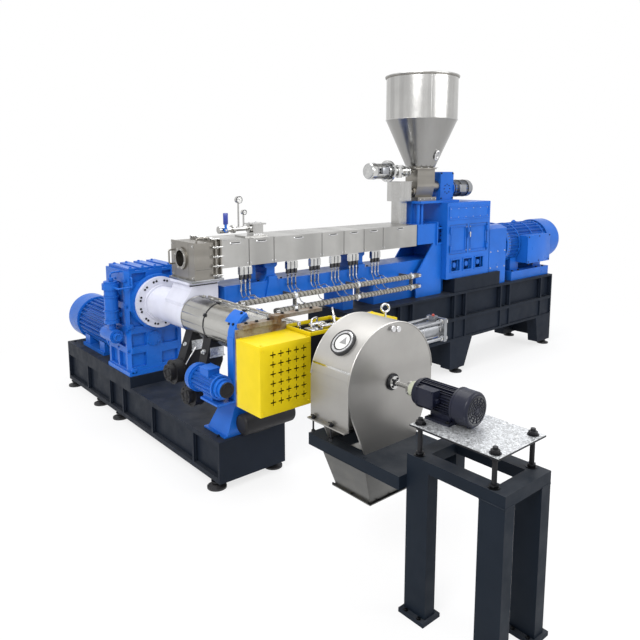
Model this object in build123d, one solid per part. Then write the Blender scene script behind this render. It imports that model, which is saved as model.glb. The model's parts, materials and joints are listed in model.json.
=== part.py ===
from build123d import *
import os
from math import acos, atan2, cos, hypot, radians, sin

# Two-stage plastic compounding extruder, at real size in millimetres, +Z up.
# An upper twin-screw line runs along X and drops its melt into a lower single-screw line
# that runs along Y and ends in a screen changer and a die-face cutter hood.
# While it is modelled, x = 0 is the lower screw's axis, y = 0 the upper screw's axis, z = 0 the floor.
# The last lines move everything so that the origin is under the middle of the whole plant.

os.makedirs("parts", exist_ok=True)

# Heights of the two lines and the clearances used everywhere
LOWER_AXIS_Z = 1186.0
UPPER_AXIS_Z = 1690.0
RUN_GAP = 5.0        # clear space between moving pieces and what stands still
SEAT_GAP = 0.3       # clearance of a round piece in its seat

# Cooling fins round a motor's frame
LARGE_FINS = 28
SMALL_FINS = 16

# Levelling feet of both bases
FOOT_H = 72.0
FOOT_R = 75.0
FOOT_STEM_R = 22.0

# Lower base
LOWER_BASE_W = 612.0
LOWER_BASE_H = 328.0
LOWER_BASE_FRONT = -940.0
LOWER_BASE_BACK = 2270.0
LOWER_RIBS = (-540.0, 186.0, 803.0, 1114.0, 1700.0)
LOWER_FEET_Y = (-830.0, 965.0, 1453.0, 2200.0)
LOWER_FOOT_INSET = 40.0
BASE_FLANGE_T = 42.0
WEB_RECESS = 34.0
RIB_T = 26.0
LOWER_PLINTH_H = 104.0
LOWER_PLINTH_FRONT = 612.0

# Lower gearbox
GEARBOX_X = (-288.0, 244.0)
GEARBOX_FRONT = 640.0
GEARBOX_D = 470.0
GEARBOX_H = 986.0
GEARBOX_FOOT_EDGE = 12.0
POCKET_DEEP = 30.0
FRONT_POCKETS = (
    ((-262.0, -114.0), (775.0, 901.0)),
    ((-265.0, -120.0), (582.0, 713.0)),
    ((43.0, 207.0), (766.0, 894.0)),
    ((35.0, 201.0), (576.0, 688.0)),
    ((-236.0, -99.0), (1384.0, 1468.0)),
    ((65.0, 156.0), (1413.0, 1468.0)),
)
SIDE_POCKETS_Z = ((560.0, 710.0), (770.0, 900.0), (970.0, 1130.0), (1190.0, 1380.0))
CROWN_RIBS_X = ((-262.0, -196.0), (-150.0, -64.0), (-12.0, 70.0), (122.0, 214.0))
CROWN_RIB_H = 25.0

# Lower motor
LOWER_SHAFT_H = 250.0
LOWER_COWL_R = 245.0
LOWER_COWL_L = 290.0
LOWER_BODY_L = 780.0
LOWER_BELL_L = 220.0
LOWER_FIN_H = 28.0
LOWER_FOOT_W = 440.0
LOWER_FOOT_T = 34.0
LOWER_FOOT_INSETS = (120.0, 90.0)
LOWER_CHEEK_W = 400.0
LOWER_CHEEK_INSETS = (20.0, 150.0)
LOWER_CHEEK_DROP = 120.0

# Oil filter and pump beside the gearbox
FILTER_R = 70.0
FILTER_Y = 790.0
FILTER_BOTTOM = 1005.0
FILTER_TOP = 1396.0
FILTER_GAP = 20.0
PUMP_DROP = 117.0
PUMP_REACH = (-90.0, 150.0)
PUMP_NOSE = 34.0
PUMP_LUG_INSET = 30.0
PUMP_R = 64.0
LUBE_R = 9.0

# Lower feed barrel and heated barrel
FEED_FLANGE_R = 238.0
FEED_FLANGE_T = 42.0
FEED_FLANGE_FRONT = 548.0
FEED_BARREL_R = 152.0
FEED_BLOCK_X = (-60.0, 210.0)
FEED_BLOCK_Y = (-124.0, 200.0)
FEED_LIP_H = 40.0
SCREW_BARREL_R = 132.0
COVER_START = -130.0
COVER_END = -1600.0
LOWER_COVER_R = 163.0
LOWER_COVER_COUNT = 4
COVER_SEAM = 6.0

# Barrel support at the front of the lower base
STAND_Y = (-905.0, -623.0)
STAND_TOP_BACK = -745.0
STAND_BOTTOM_W = 418.0
STAND_TOP_W = 236.0
STAND_TOP_Z = 700.0
STAND_LIP = 24.0
STAND_LIP_T = 12.0
SHELF_X = (-340.0, 200.0)
SHELF_T = 16.0
YOKE_Y = (-985.0, -905.0)
YOKE_T = 27.0
YOKE_PLATE_X = (165.0, 195.0)
YOKE_OPEN_LEFT = 112.0
YOKE_OPEN_RIGHT = 68.0
YOKE_FLARE = 78.0

# Accumulator in front of the stand
ACCUMULATOR_R = 80.0
ACCUMULATOR_X = (-140.0, 330.0)
ACCUMULATOR_Z = 510.0

# Blowers under the lower barrel
FAN_R = 96.0
FAN_X = (-292.0, -222.0)
FANS = ((-209.0, 764.0), (-500.0, 655.0))
FAN_OUTLET_W = 110.0
SMALL_COWL_R = 109.0
SMALL_BODY_R = 90.0
SMALL_MOTOR_X = -285.0
SMALL_MOTOR_Z = 830.0
SMALL_MOTOR_Y = (-1030.0, -590.0)
SMALL_COWL_L = 70.0

# Screen changer
CHANGER_Y = (-1880.0, -1606.0)
CHANGER_W = 400.0
GUARD_OUT = 583.0
GUARD_Z = (958.0, 1388.0)
GUARD_Y = (-1880.0, -1633.0)
GUARD_SKIN = 4.0
PLUS_COLUMNS = 5
PLUS_ROWS = 6
PLUS_PITCH = 58.5
PLUS_LOW = (254.0, 1033.0)
PLUS_SIZE = 26.0
PLUS_BAR = 8.0
TRAY_H = 24.0
TRAY_WALL = 9.0
CLAMP_PLATE_T = 15.0
CLAMP_PLATE_TOP = 1440.0
CLAMP_BAR_T = 27.0
CLAMP_BAR_A = (-545.0, -250.0)
CLAMP_BAR_B = (-307.0, 90.0)
CLAMP_BAR_Y = (-1650.0, -1585.0)
DIE_R = 130.0
CYLINDER_PLATE = 178.0
CYLINDER_PLATE_T = 34.0
CYLINDER_R = 66.0
CYLINDER_END = 1200.0
TIE_ROD_R = 13.0

# Cutter hood
HOOD_FRONT = -2380.0
HOOD_BACK = -2060.0
HOOD_R = 350.0
HOOD_SKIN = 8.0
HOOD_PLATE_T = 12.0
HOOD_FOOT_W = 430.0
HOOD_WALL_Z = 965.0
HOOD_LIP = 28.0
LID_T = 4.0
LID_START = 11.5
SIGHT_R = 73.0
SIGHT_GLASS_R = 54.0
SIGHT_ANGLE = 136.0
SIGHT_Y = -2240.0
SIGHT_H = 20.0

# Cutter table, legs and motor plate
TABLE_TOP = 800.0
TABLE_T = 75.0
TABLE_W = 520.0
TABLE_BACK = -1930.0
TABLE_FRONT = -2680.0
LEG_W = 80.0
LEG_D = 145.0
LEG_PAD_T = 24.0
LEG_PAD_EDGE = 30.0
FRONT_FRAME_W = 400.0
FRONT_FRAME_FRONT = -3280.0
FRONT_FRAME_H = 65.0
FRONT_FRAME_BOTTOM = 850.0
FRONT_FRAME_RAIL = 90.0
PLATE_W = 414.0
PLATE_Y = (-3238.0, -2700.0)
PLATE_T = 10.0
STUD_R = 13.0
NUT_R = 23.0
NUT_H = 20.0
CUTTER_SHAFT_H = 100.0
CUTTER_COWL_R = 95.0
CUTTER_COWL_L = 96.0
CUTTER_BODY_R = 80.0
CUTTER_MOTOR_Y = (-2968.0, -2590.0)
SHAFT_R = 13.0
BEARING_R = 38.0
COUPLING_R = 41.0
COUPLING_L = 66.0
KNIFE_HUB_R = 60.0
KNIFE_L = 190.0

# Pellet chute
CHUTE_W = 524.0
CHUTE_OUTLET_Z = 560.0
CHUTE_SKIN = 5.0
CHUTE_LIP = 18.0
CHUTE_Y_TOP = (-2430.0, -2070.0)
CHUTE_Y_LOW = (-2470.0, -2190.0)

# Upper base
UPPER_BASE_TOP = 984.0
UPPER_BASE_W = 680.0
UPPER_BASE_LEFT = 1600.0
UPPER_BASE_RIGHT = 5416.0
UPPER_BEAM_H = 324.0
UPPER_RAIL_H = 246.0
UPPER_RAIL_W = 140.0
UPPER_FLANGE_T = 24.0
UPPER_WEB_RECESS = 54.0
UPPER_RIBS = (2330.0, 2530.0, 3263.0, 3474.0, 4198.0, 4398.0, 5143.0)
LEG_TOPS = ((1600.0, 2020.0), (3190.0, 3613.0), (5050.0, 5416.0))
LEG_SOLES = ((1600.0, 1870.0), (3200.0, 3470.0), (5106.0, 5416.0))
LEG_PANELS_X = (1600.0, 3204.0, 5330.0)
LEG_PANEL_T = 20.0
LEG_PANEL_RISE = 24.0
UPPER_FEET_X = (1800.0, 3400.0, 5370.0)
UPPER_PLINTH_H = 168.0
UPPER_PLINTH_EDGE = 15.0
UPPER_PLINTH_X = (3260.0, 4170.0)

# Upper barrel and its supports
UPPER_COVER_W = 426.0
UPPER_COVER_H = 236.0
UPPER_COVER_X = (200.0, 2704.0)
UPPER_JOINTS = (479.0, 750.0, 1323.0, 1611.0, 1890.0, 2170.0)
UPPER_BARREL_W = 200.0
UPPER_BARREL_H = 150.0
BEAM_LEFT = 250.0
BEAM_W = 300.0
BEAM_Z = (1240.0, 1400.0)
BEAM_SADDLE_LEFT = 2100.0
BEAM_END_FOOT = (60.0, 200.0)
PEDESTAL_X = (770.0, 1905.0)
PEDESTAL_POST_W = 92.0
PEDESTAL_HEAD_W = 147.0
PEDESTAL_HEAD_H = 40.0
PEDESTAL_FOOT_W = 170.0
CHEEK_T = 16.0
CHEEK_Z = 1232.0
PROP_X = (590.0, 650.0)
VALVE_GROUPS_X = (460.0, 980.0, 1263.0, 1528.0, 1775.0, 2093.0)
VALVE_PITCH = 46.0
VALVE_BLOCK = 34.0
VALVE_BLOCK_H = 64.0
VALVE_PIPE_R = 7.0
VALVE_PIPE_Z = 1336.0
MANIFOLD_R = 25.0
MANIFOLD_Y = -320.0
MANIFOLD_Z = (1148.0, 1266.0)
MANIFOLD_X = ((675.0, 2640.0), (300.0, 2640.0))
HANGERS_X = (900.0, 1700.0, 2500.0)
HANGER_T = 14.0

# Discharge end of the upper line
DISCHARGE_X = (-56.0, 136.0)
DISCHARGE_W = 392.0
DISCHARGE_Z = (1488.0, 1800.0)
PORT_R = 72.0
PORT_Y = 22.0
PORT_Z = 1660.0
PORT_DEEP = 90.0
BAIL_R = 7.0
BAIL_OUT = 40.0
END_PLATE_EDGE = 20.0

# Vent stack on the upper barrel
VENT_X = (610.0, 720.0)
VENT_Y = -40.0
VENT_W = 100.0
VENT_LID_EDGE = 20.0
VENT_PLATE_X = (500.0, 741.0)
VENT_PLATE_W = 170.0
VENT_PLATE_T = 14.0
VENT_Z = 1914.0
VENT_PIPE_DROP = 30.0
VENT_PIPE_R = 21.0
VALVE_X = 322.0
VALVE_R = 32.0
VALVE_STEM_R = 9.0
GAUGE_X = 486.0
GAUGE_RISE = 232.0
GAUGE_R = 31.0
SMALL_GAUGE_X = 540.0
SMALL_GAUGE_RISE = 128.0
SMALL_GAUGE_R = 22.0
LEVER_L = 148.0
LEVER_W = 22.0
LEVER_T = 8.0

# Twin-screw gearbox in its cabinet
CABINET_X = (3140.0, 3960.0)
CABINET_BACK = 308.0
CABINET_FRONT_EDGE = 33.0
CABINET_H = 884.0
CABINET_SKIN = 12.0
FRAME_PROUD = 8.0
FRAME_W = 14.0
GEAR_CORE_EDGE = 40.0
GEAR_CORE_W = 420.0
DOOR_OPENINGS = ((3191.0, 3510.0), (3560.0, 3906.0))
DOOR_RISE = (288.0, 624.0)
DOOR_T = 18.0
DOOR_FREE_GAP = 8.0
HINGE_R = 4.0
HINGE_OUT = 12.0
HINGE_IN = 2.0
KNUCKLE_R = 8.0
KNUCKLE_H = 58.0
HINGE_FROM_EDGE = 60.0
LOCK_X = (3521.0, 3549.0)
LOCK_RISE = (460.0, 580.0)
WINDOW_RISE = (88.0, 218.0)
WINDOW_W = 160.0
WINDOW_PITCH = 229.0
WINDOW_FIRST = 83.0
PANEL_RISE = (700.0, 826.0)

# Torque box between barrel and cabinet
TORQUE_LEFT = 2714.0
TORQUE_Z = (1582.0, 1805.0)
TORQUE_W = 440.0
TORQUE_FLANGE_X = (3026.0, 3042.0)
TORQUE_FLANGE_EDGE = 20.0
GUSSET_T = 16.0
GUSSET_SLOPE = ((2700.0, 1240.0), (2985.0, 1582.0))

# Coupling guard
COUPLING_GUARD_X = (3989.0, 4350.0)
COUPLING_GUARD_W = 560.0
COUPLING_GUARD_H = 734.0
COUPLING_GUARD_CROWN = (80.0, 34.0)

# Main motor
MAIN_MOTOR_Z = 1446.0
MAIN_FLANGE_R = 283.0
MAIN_COWL_R = 277.0
MAIN_BODY_R = 262.0
MAIN_CORE_R = 236.0
MAIN_MOTOR_X = (4420.0, 5718.0)
MAIN_COWL_L = 350.0
MAIN_BELL_R = 240.0
TERMINAL_X = (4735.0, 5270.0)
TERMINAL_OUT = 352.0
TERMINAL_Z = (1200.0, 1557.0)
SEAT_FRAME_X = (4500.0, 5400.0)
SEAT_FRAME_W = 560.0
SEAT_FRAME_H = 116.0
SEAT_FEET_X = ((4600.0, 4790.0), (5150.0, 5340.0))
SEAT_FEET_W = 380.0

# Feeder and hopper
FEEDER_X = 2990.0
FEEDER_PLATE_T = 24.0
FEEDER_PLATE_X = (2767.0, 3450.0)
FEEDER_PLATE_W = 420.0
FEEDER_COLUMN_X = (2790.0, 2876.0)
FEEDER_COLUMN_Y = (-60.0, 60.0)
FEEDER_TUBES_X = (2816.0, 2876.0)
FEEDER_TUBE_Y = -130.0
FEEDER_TUBE_R = 19.0
FEEDER_W = 300.0
FEEDER_TROUGH = (90.0, 56.0)
FEEDER_FOOT_H = 40.0
FEEDER_FOOT_W = 220.0
FEEDER_H = 370.0
NECK_FLANGE_T = 14.0
NECK_FLANGE_EDGE = 24.0
SPOUT_RISE = 100.0
SPOUT_R = 44.0
FEEDER_GEARBOX_X = (3259.0, 3500.0)
FEEDER_GEARBOX_W = 160.0
FEEDER_GEARBOX_H = 325.0
FEEDER_MOTOR_L = 370.0
FEEDER_MOTOR_R = 98.0
FEEDER_MOTOR_RISE = 128.0
FEEDER_COUPLING_R = 66.0
HOPPER_R = 400.0
HOPPER_SKIN = 6.0
HOPPER_NECK_R = 160.0
HOPPER_CONE_H = 532.0
HOPPER_STRAIGHT_H = 474.0
HOPPER_BEAD_R = 10.0
AGITATOR_DROP = 38.0
AGITATOR_LEFT = 2146.0
AGITATOR_DISC_X = (2434.0, 2458.0)
AGITATOR_DISC_R = 118.0
AGITATOR_MOTOR_R = 88.0
AGITATOR_FLANGES_X = (2517.0, 2566.0, 2688.0, 2746.0)
AGITATOR_FLANGE_R = 60.0
AGITATOR_SHAFT_R = 20.0
CHUTE_X = 2640.0
CHUTE_BOX_W = 200.0
CHUTE_BOX_D = 180.0
CHUTE_BOX_RISE = 2.0
CHUTE_BOX_H = 220.0
CHUTE_DUCT_W = 120.0


def span(centre, width):
    """Low and high value of a width about its centre."""
    return (centre - width / 2, centre + width / 2)


def block(x, y, z):
    """Box between the low and high values on each axis."""
    box = Box(x[1] - x[0], y[1] - y[0], z[1] - z[0])
    return Pos((x[0] + x[1]) / 2, (y[0] + y[1]) / 2, (z[0] + z[1]) / 2) * box


def rod_x(x, y, z, radius):
    return Pos((x[0] + x[1]) / 2, y, z) * Rot(0, 90, 0) * Cylinder(radius, x[1] - x[0])


def rod_y(x, y, z, radius):
    return Pos(x, (y[0] + y[1]) / 2, z) * Rot(90, 0, 0) * Cylinder(radius, y[1] - y[0])


def rod_z(x, y, z, radius):
    return Pos(x, y, (z[0] + z[1]) / 2) * Cylinder(radius, z[1] - z[0])


def finned_section(core, tip, count, fin_t):
    """Cross-section of a ribbed motor frame: a core with straight cooling fins."""
    fin_h = tip - core + 4
    fins = [Rot(0, 0, i * 360 / count) * Pos(core + fin_h / 2 - 4, 0) * Rectangle(fin_h, fin_t)
            for i in range(count)]
    return Circle(core) + fins


def along_x(sketch, x, y, z):
    """Extrude a sketch drawn around the axis from x[0] to x[1]."""
    return Pos(x[0], y, z) * Rot(0, 90, 0) * extrude(sketch, amount=x[1] - x[0])


def along_y(sketch, x, y, z):
    """Extrude a sketch drawn around the axis from y[0] to y[1]."""
    return Pos(x, y[1], z) * Rot(90, 0, 0) * extrude(sketch, amount=y[1] - y[0])


def plate_xz(points, y):
    """Plate whose outline is given as (x, z) points, from y[0] to y[1]."""
    outline = make_face(Polyline(*points, close=True))
    return extrude(Plane.XZ.offset(-y[1]) * outline, amount=y[1] - y[0])


def plate_yz(points, x):
    """Plate whose outline is given as (y, z) points, from x[0] to x[1]."""
    outline = make_face(Polyline(*points, close=True))
    return extrude(Plane.YZ.offset(x[0]) * outline, amount=x[1] - x[0])


def bent_tube(points, radius, bend):
    """Round bar or pipe that follows the points with rounded corners."""
    path = FilletPolyline(*points, radius=bend)
    section = Plane(origin=path @ 0, z_dir=path % 0) * Circle(radius)
    return sweep(section, path=path)


def bays(ribs, ends):
    """Open spans between the stiffening ribs of a base, with a rib at each end."""
    centres = (ends[0] + RIB_T / 2,) + ribs + (ends[1] - RIB_T / 2,)
    return [(low + RIB_T / 2, high - RIB_T / 2) for low, high in zip(centres, centres[1:])]


# Levels that follow from the driving sizes
LOWER_DECK = FOOT_H + LOWER_BASE_H
LOWER_PLINTH_TOP = LOWER_DECK + LOWER_PLINTH_H
GEARBOX_TOP = LOWER_PLINTH_TOP + GEARBOX_H
GEARBOX_BACK = GEARBOX_FRONT + GEARBOX_D
LOWER_MOTOR_Z = LOWER_PLINTH_TOP + LOWER_SHAFT_H
LOWER_BODY_START = GEARBOX_BACK + LOWER_BELL_L
LOWER_BODY_END = LOWER_BODY_START + LOWER_BODY_L
LOWER_MOTOR_END = LOWER_BODY_END + LOWER_COWL_L
SHELF_TOP = STAND_TOP_Z + SHELF_T
PLATE_TOP = LOWER_AXIS_Z - CUTTER_SHAFT_H
UPPER_BEAM_BOTTOM = UPPER_BASE_TOP - UPPER_BEAM_H
UPPER_RAIL_BOTTOM = UPPER_BEAM_BOTTOM - UPPER_RAIL_H
UPPER_PLINTH_TOP = UPPER_BASE_TOP + UPPER_PLINTH_H
COVERS_TOP = UPPER_AXIS_Z + UPPER_COVER_H / 2
COVERS_BOTTOM = UPPER_AXIS_Z - UPPER_COVER_H / 2
CABINET_FRONT = -UPPER_BASE_W / 2 + UPPER_PLINTH_EDGE + CABINET_FRONT_EDGE
CABINET_Y = (CABINET_FRONT, CABINET_BACK)
CABINET_TOP = UPPER_PLINTH_TOP + CABINET_H
DOOR_Z = (UPPER_PLINTH_TOP + DOOR_RISE[0], UPPER_PLINTH_TOP + DOOR_RISE[1])
WINDOW_Z = (UPPER_PLINTH_TOP + WINDOW_RISE[0], UPPER_PLINTH_TOP + WINDOW_RISE[1])
FEEDER_PLATE_Z = CABINET_TOP + FEEDER_PLATE_T
HOPPER_NECK_Z = FEEDER_PLATE_Z + FEEDER_H
HOPPER_SEAM_Z = HOPPER_NECK_Z + HOPPER_CONE_H
HOPPER_RIM_Z = HOPPER_SEAM_Z + HOPPER_STRAIGHT_H
CHUTE_BOX_Z = (FEEDER_PLATE_Z + CHUTE_BOX_RISE, FEEDER_PLATE_Z + CHUTE_BOX_RISE + CHUTE_BOX_H)


# Lower line: base, drive and feed

def lower_base():
    x = span(0, LOWER_BASE_W)
    y = (LOWER_BASE_FRONT, LOWER_BASE_BACK)
    body = block(x, y, (FOOT_H, LOWER_DECK))
    web_z = (FOOT_H + BASE_FLANGE_T, LOWER_DECK - BASE_FLANGE_T)
    for bay in bays(LOWER_RIBS, y):
        body -= block((x[0], x[0] + WEB_RECESS), bay, web_z)
        body -= block((x[1] - WEB_RECESS, x[1]), bay, web_z)
    return body


def levelling_feet(places):
    """Domed pads on threaded stems, under a base whose underside is at the foot height."""
    shoulder = FOOT_H * 0.42
    pad = Polyline((0, 0), (FOOT_R, 0), (FOOT_R, FOOT_H * 0.2), (FOOT_R * 0.5, shoulder),
                   (FOOT_STEM_R, shoulder), (FOOT_STEM_R, FOOT_H), (0, FOOT_H), close=True)
    foot = revolve(Plane.XZ * make_face(pad), Axis.Z)
    return [Pos(x, y, 0) * foot for x, y in places]


def lower_feet():
    edge = LOWER_BASE_W / 2 - LOWER_FOOT_INSET
    return levelling_feet([(s * edge, y) for y in LOWER_FEET_Y for s in (-1, 1)])


def lower_plinth():
    y = (LOWER_PLINTH_FRONT, LOWER_BASE_BACK)
    return block(span(0, LOWER_BASE_W), y, (LOWER_DECK, LOWER_PLINTH_TOP))


def lower_gearbox():
    x = GEARBOX_X
    y = (GEARBOX_FRONT, GEARBOX_BACK)
    outline = make_face(Polyline((x[0], y[0] + 52), (x[0] + 28, y[0]), (x[1], y[0]), (x[1], y[1]),
                                 (x[0], y[1]), close=True))
    body = Pos(0, 0, LOWER_PLINTH_TOP) * extrude(outline, amount=GEARBOX_H)
    edge = GEARBOX_FOOT_EDGE
    foot_z = (LOWER_PLINTH_TOP, LOWER_PLINTH_TOP + 40)
    body += block((x[0] - edge, x[1] + edge), (y[0] - edge, y[1] + edge), foot_z)
    for px, pz in FRONT_POCKETS:
        body -= block(px, (y[0] - edge - 1, y[0] + POCKET_DEEP), pz)
    z = LOWER_AXIS_Z
    corner = ((x[0] + 23, z - 216), (x[0] + 148, z - 224), (x[0] + 23, z - 61))
    body -= plate_xz(corner, (y[0] - 1, y[0] + POCKET_DEEP))
    for pz in SIDE_POCKETS_Z:
        for py in ((y[0] + 80, y[0] + 235), (y[0] + 265, y[1] - 40)):
            body -= block((x[0] - edge - 1, x[0] + POCKET_DEEP), py, pz)
            body -= block((x[1] - POCKET_DEEP, x[1] + edge + 1), py, pz)
    for rib in CROWN_RIBS_X:
        body += block(rib, (y[0] + 12, y[1] - 12), (GEARBOX_TOP, GEARBOX_TOP + CROWN_RIB_H))
    lid_z = (GEARBOX_TOP, GEARBOX_TOP + CROWN_RIB_H / 2)
    body += block((x[0] + 50, x[1] - 50), (y[0] + 60, y[1] - 60), lid_z)
    face = FEED_FLANGE_FRONT + FEED_FLANGE_T
    return body + rod_y(0, (face, y[0]), LOWER_AXIS_Z, FEED_FLANGE_R + 22)


def lower_motor():
    tip = LOWER_COWL_R - 16
    section = finned_section(tip - LOWER_FIN_H, tip, LARGE_FINS, 7)
    frame = along_y(section, 0, (LOWER_BODY_START, LOWER_BODY_END), LOWER_MOTOR_Z)
    cowl = rod_y(0, (LOWER_BODY_END, LOWER_MOTOR_END), LOWER_MOTOR_Z, LOWER_COWL_R)
    cowl = fillet(cowl.edges().group_by(Axis.Y)[-1], 40)
    bell = rod_y(0, (GEARBOX_BACK, LOWER_BODY_START), LOWER_MOTOR_Z, LOWER_COWL_R - 40)
    shield = rod_y(0, (LOWER_BODY_START - 34, LOWER_BODY_START), LOWER_MOTOR_Z, LOWER_COWL_R - 6)
    return frame + cowl + bell + shield


def lower_motor_foot():
    y = (LOWER_BODY_START + LOWER_FOOT_INSETS[0], LOWER_BODY_END - LOWER_FOOT_INSETS[1])
    foot = block(span(0, LOWER_FOOT_W), y, (LOWER_PLINTH_TOP, LOWER_PLINTH_TOP + LOWER_FOOT_T))
    near, far = LOWER_CHEEK_INSETS
    for cheek in ((y[0] + near, y[0] + far), (y[1] - far, y[1] - near)):
        foot += block(span(0, LOWER_CHEEK_W), cheek, (LOWER_PLINTH_TOP, LOWER_MOTOR_Z - LOWER_CHEEK_DROP))
    return foot - rod_y(0, (y[0] - 1, y[1] + 1), LOWER_MOTOR_Z, LOWER_COWL_R - 16 + SEAT_GAP)


def oil_set():
    x = GEARBOX_X[0] - FILTER_R - FILTER_GAP
    y = FILTER_Y
    pump_z = FILTER_BOTTOM - PUMP_DROP
    body = rod_z(x, y, (FILTER_BOTTOM, FILTER_TOP), FILTER_R - 8)
    body += rod_z(x, y, (FILTER_TOP - 76, FILTER_TOP - 20), FILTER_R + 8)
    body += rod_z(x, y, (FILTER_BOTTOM, FILTER_BOTTOM + 24), FILTER_R)
    pump_y = (y + PUMP_REACH[0], y + PUMP_REACH[1])
    body += rod_y(x, pump_y, pump_z, PUMP_R)
    body += rod_y(x, (pump_y[0] - PUMP_NOSE, pump_y[0]), pump_z, PUMP_R * 0.6)
    body += rod_z(x, y, (pump_z, FILTER_BOTTOM), 34)
    for z in (FILTER_BOTTOM + 70, FILTER_TOP - 110):
        body += block((x, GEARBOX_X[0]), span(y, 44), span(z, 44))
    body += block((x, GEARBOX_X[0]), span(pump_y[1] - PUMP_LUG_INSET, 40), span(pump_z, 44))
    pipe_x = GEARBOX_X[0] + 40
    pipe_y = GEARBOX_FRONT - 26
    low = FILTER_TOP - 51
    body += bent_tube([(x, y, low), (x, pipe_y, low), (pipe_x, pipe_y, low), (pipe_x, pipe_y, low + 86),
                       (pipe_x, GEARBOX_FRONT, low + 86)], LUBE_R, 12)
    top = GEARBOX_TOP - 15
    body += bent_tube([(x, y, FILTER_TOP - 30), (x, y, top), (GEARBOX_X[0], y, top)], LUBE_R, 30)
    return body


def feed_barrel():
    flange = rod_y(0, (FEED_FLANGE_FRONT, FEED_FLANGE_FRONT + FEED_FLANGE_T), LOWER_AXIS_Z, FEED_FLANGE_R)
    barrel = rod_y(0, (COVER_START, FEED_FLANGE_FRONT), LOWER_AXIS_Z, FEED_BARREL_R)
    neck = rod_y(0, (FEED_FLANGE_FRONT - 30, FEED_FLANGE_FRONT), LOWER_AXIS_Z, FEED_BARREL_R + 14)
    x = FEED_BLOCK_X
    top = DISCHARGE_Z[0] - FEED_LIP_H
    throat = plate_xz([(x[0] - 70, LOWER_AXIS_Z), (x[1], LOWER_AXIS_Z), (x[1], top), (x[0] + 20, top),
                       (x[0], top - 60), (x[0] - 70, LOWER_AXIS_Z + 110)], FEED_BLOCK_Y)
    lip = block((x[0] - 20, x[1] + 10), (FEED_BLOCK_Y[0] - 8, FEED_BLOCK_Y[1]), (top, DISCHARGE_Z[0]))
    body = flange + barrel + neck + throat + lip
    slot = (top - 18, top - 6)
    body -= block((x[0] - 30, x[1] + 20), (FEED_BLOCK_Y[0] - 9, FEED_BLOCK_Y[0] + 12), slot)
    return body


def lower_barrel_covers():
    pitch = (COVER_START - COVER_END) / LOWER_COVER_COUNT
    covers = []
    for i in range(LOWER_COVER_COUNT):
        y = (COVER_START - (i + 1) * pitch + COVER_SEAM / 2, COVER_START - i * pitch - COVER_SEAM / 2)
        shell = rod_y(0, y, LOWER_AXIS_Z, LOWER_COVER_R)
        covers.append(shell - rod_y(0, (y[0] - 1, y[1] + 1), LOWER_AXIS_Z, SCREW_BARREL_R))
    return covers


def lower_screw_barrel():
    return rod_y(0, (CHANGER_Y[1], COVER_START), LOWER_AXIS_Z, SCREW_BARREL_R - SEAT_GAP)


def barrel_stand():
    base_z = LOWER_DECK + STAND_LIP_T
    low = Pos((0, sum(STAND_Y) / 2, base_z)) * Rectangle(STAND_BOTTOM_W, STAND_Y[1] - STAND_Y[0])
    top_y = (STAND_Y[0], STAND_TOP_BACK)
    high = Pos((0, sum(top_y) / 2, STAND_TOP_Z)) * Rectangle(STAND_TOP_W, top_y[1] - top_y[0])
    cone = loft([low, high])
    lip_y = (STAND_Y[0], STAND_Y[1] + STAND_LIP)
    return cone + block(span(0, STAND_BOTTOM_W + 2 * STAND_LIP), lip_y, (LOWER_DECK, base_z))


def yoke_profile():
    """Cradle around the lower half of a barrel cover, drawn about the barrel's axis."""
    inner = LOWER_COVER_R + SEAT_GAP
    outer = inner + YOKE_T
    reach = 2 * outer
    left = (reach * cos(radians(YOKE_OPEN_LEFT)), reach * sin(radians(YOKE_OPEN_LEFT)))
    right = (reach * cos(radians(YOKE_OPEN_RIGHT)), reach * sin(radians(YOKE_OPEN_RIGHT)))
    opening = make_face(Polyline((0, 0), left, right, close=True))
    return Circle(outer) - Circle(inner) - opening


def barrel_yoke():
    inner = LOWER_COVER_R + SEAT_GAP
    body = along_y(yoke_profile(), 0, YOKE_Y, LOWER_AXIS_Z)
    for s in (-1, 1):
        x = sorted((s * YOKE_PLATE_X[0], s * YOKE_PLATE_X[1]))
        body += block(x, YOKE_Y, (SHELF_TOP, LOWER_AXIS_Z))
    web_y = (YOKE_Y[1] - 20, YOKE_Y[1])
    body += block((-YOKE_PLATE_X[0], YOKE_PLATE_X[0]), web_y, (SHELF_TOP, LOWER_AXIS_Z))
    body += block(SHELF_X, (YOKE_Y[0], STAND_TOP_BACK), (STAND_TOP_Z, SHELF_TOP))
    corner = Pos(-LOWER_COVER_R / 2, LOWER_COVER_R) * Rectangle(LOWER_COVER_R, LOWER_COVER_R * 0.8)
    flare = yoke_profile() & corner
    body += along_y(flare, 0, (YOKE_Y[1], YOKE_Y[1] + YOKE_FLARE), LOWER_AXIS_Z)
    return body - rod_y(0, (YOKE_Y[0] - 1, YOKE_Y[1] + YOKE_FLARE + 1), LOWER_AXIS_Z, inner)


def accumulator():
    z = ACCUMULATOR_Z
    y = STAND_Y[0] - ACCUMULATOR_R
    drum = rod_x(ACCUMULATOR_X, y, z, ACCUMULATOR_R)
    ends = [drum.edges().group_by(Axis.X)[0], drum.edges().group_by(Axis.X)[-1]]
    drum = fillet(ends[0] + ends[1], 22)
    saddle = block((-20, 130), (y, STAND_Y[0]), (LOWER_DECK + STAND_LIP_T, z))
    return drum + saddle


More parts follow.
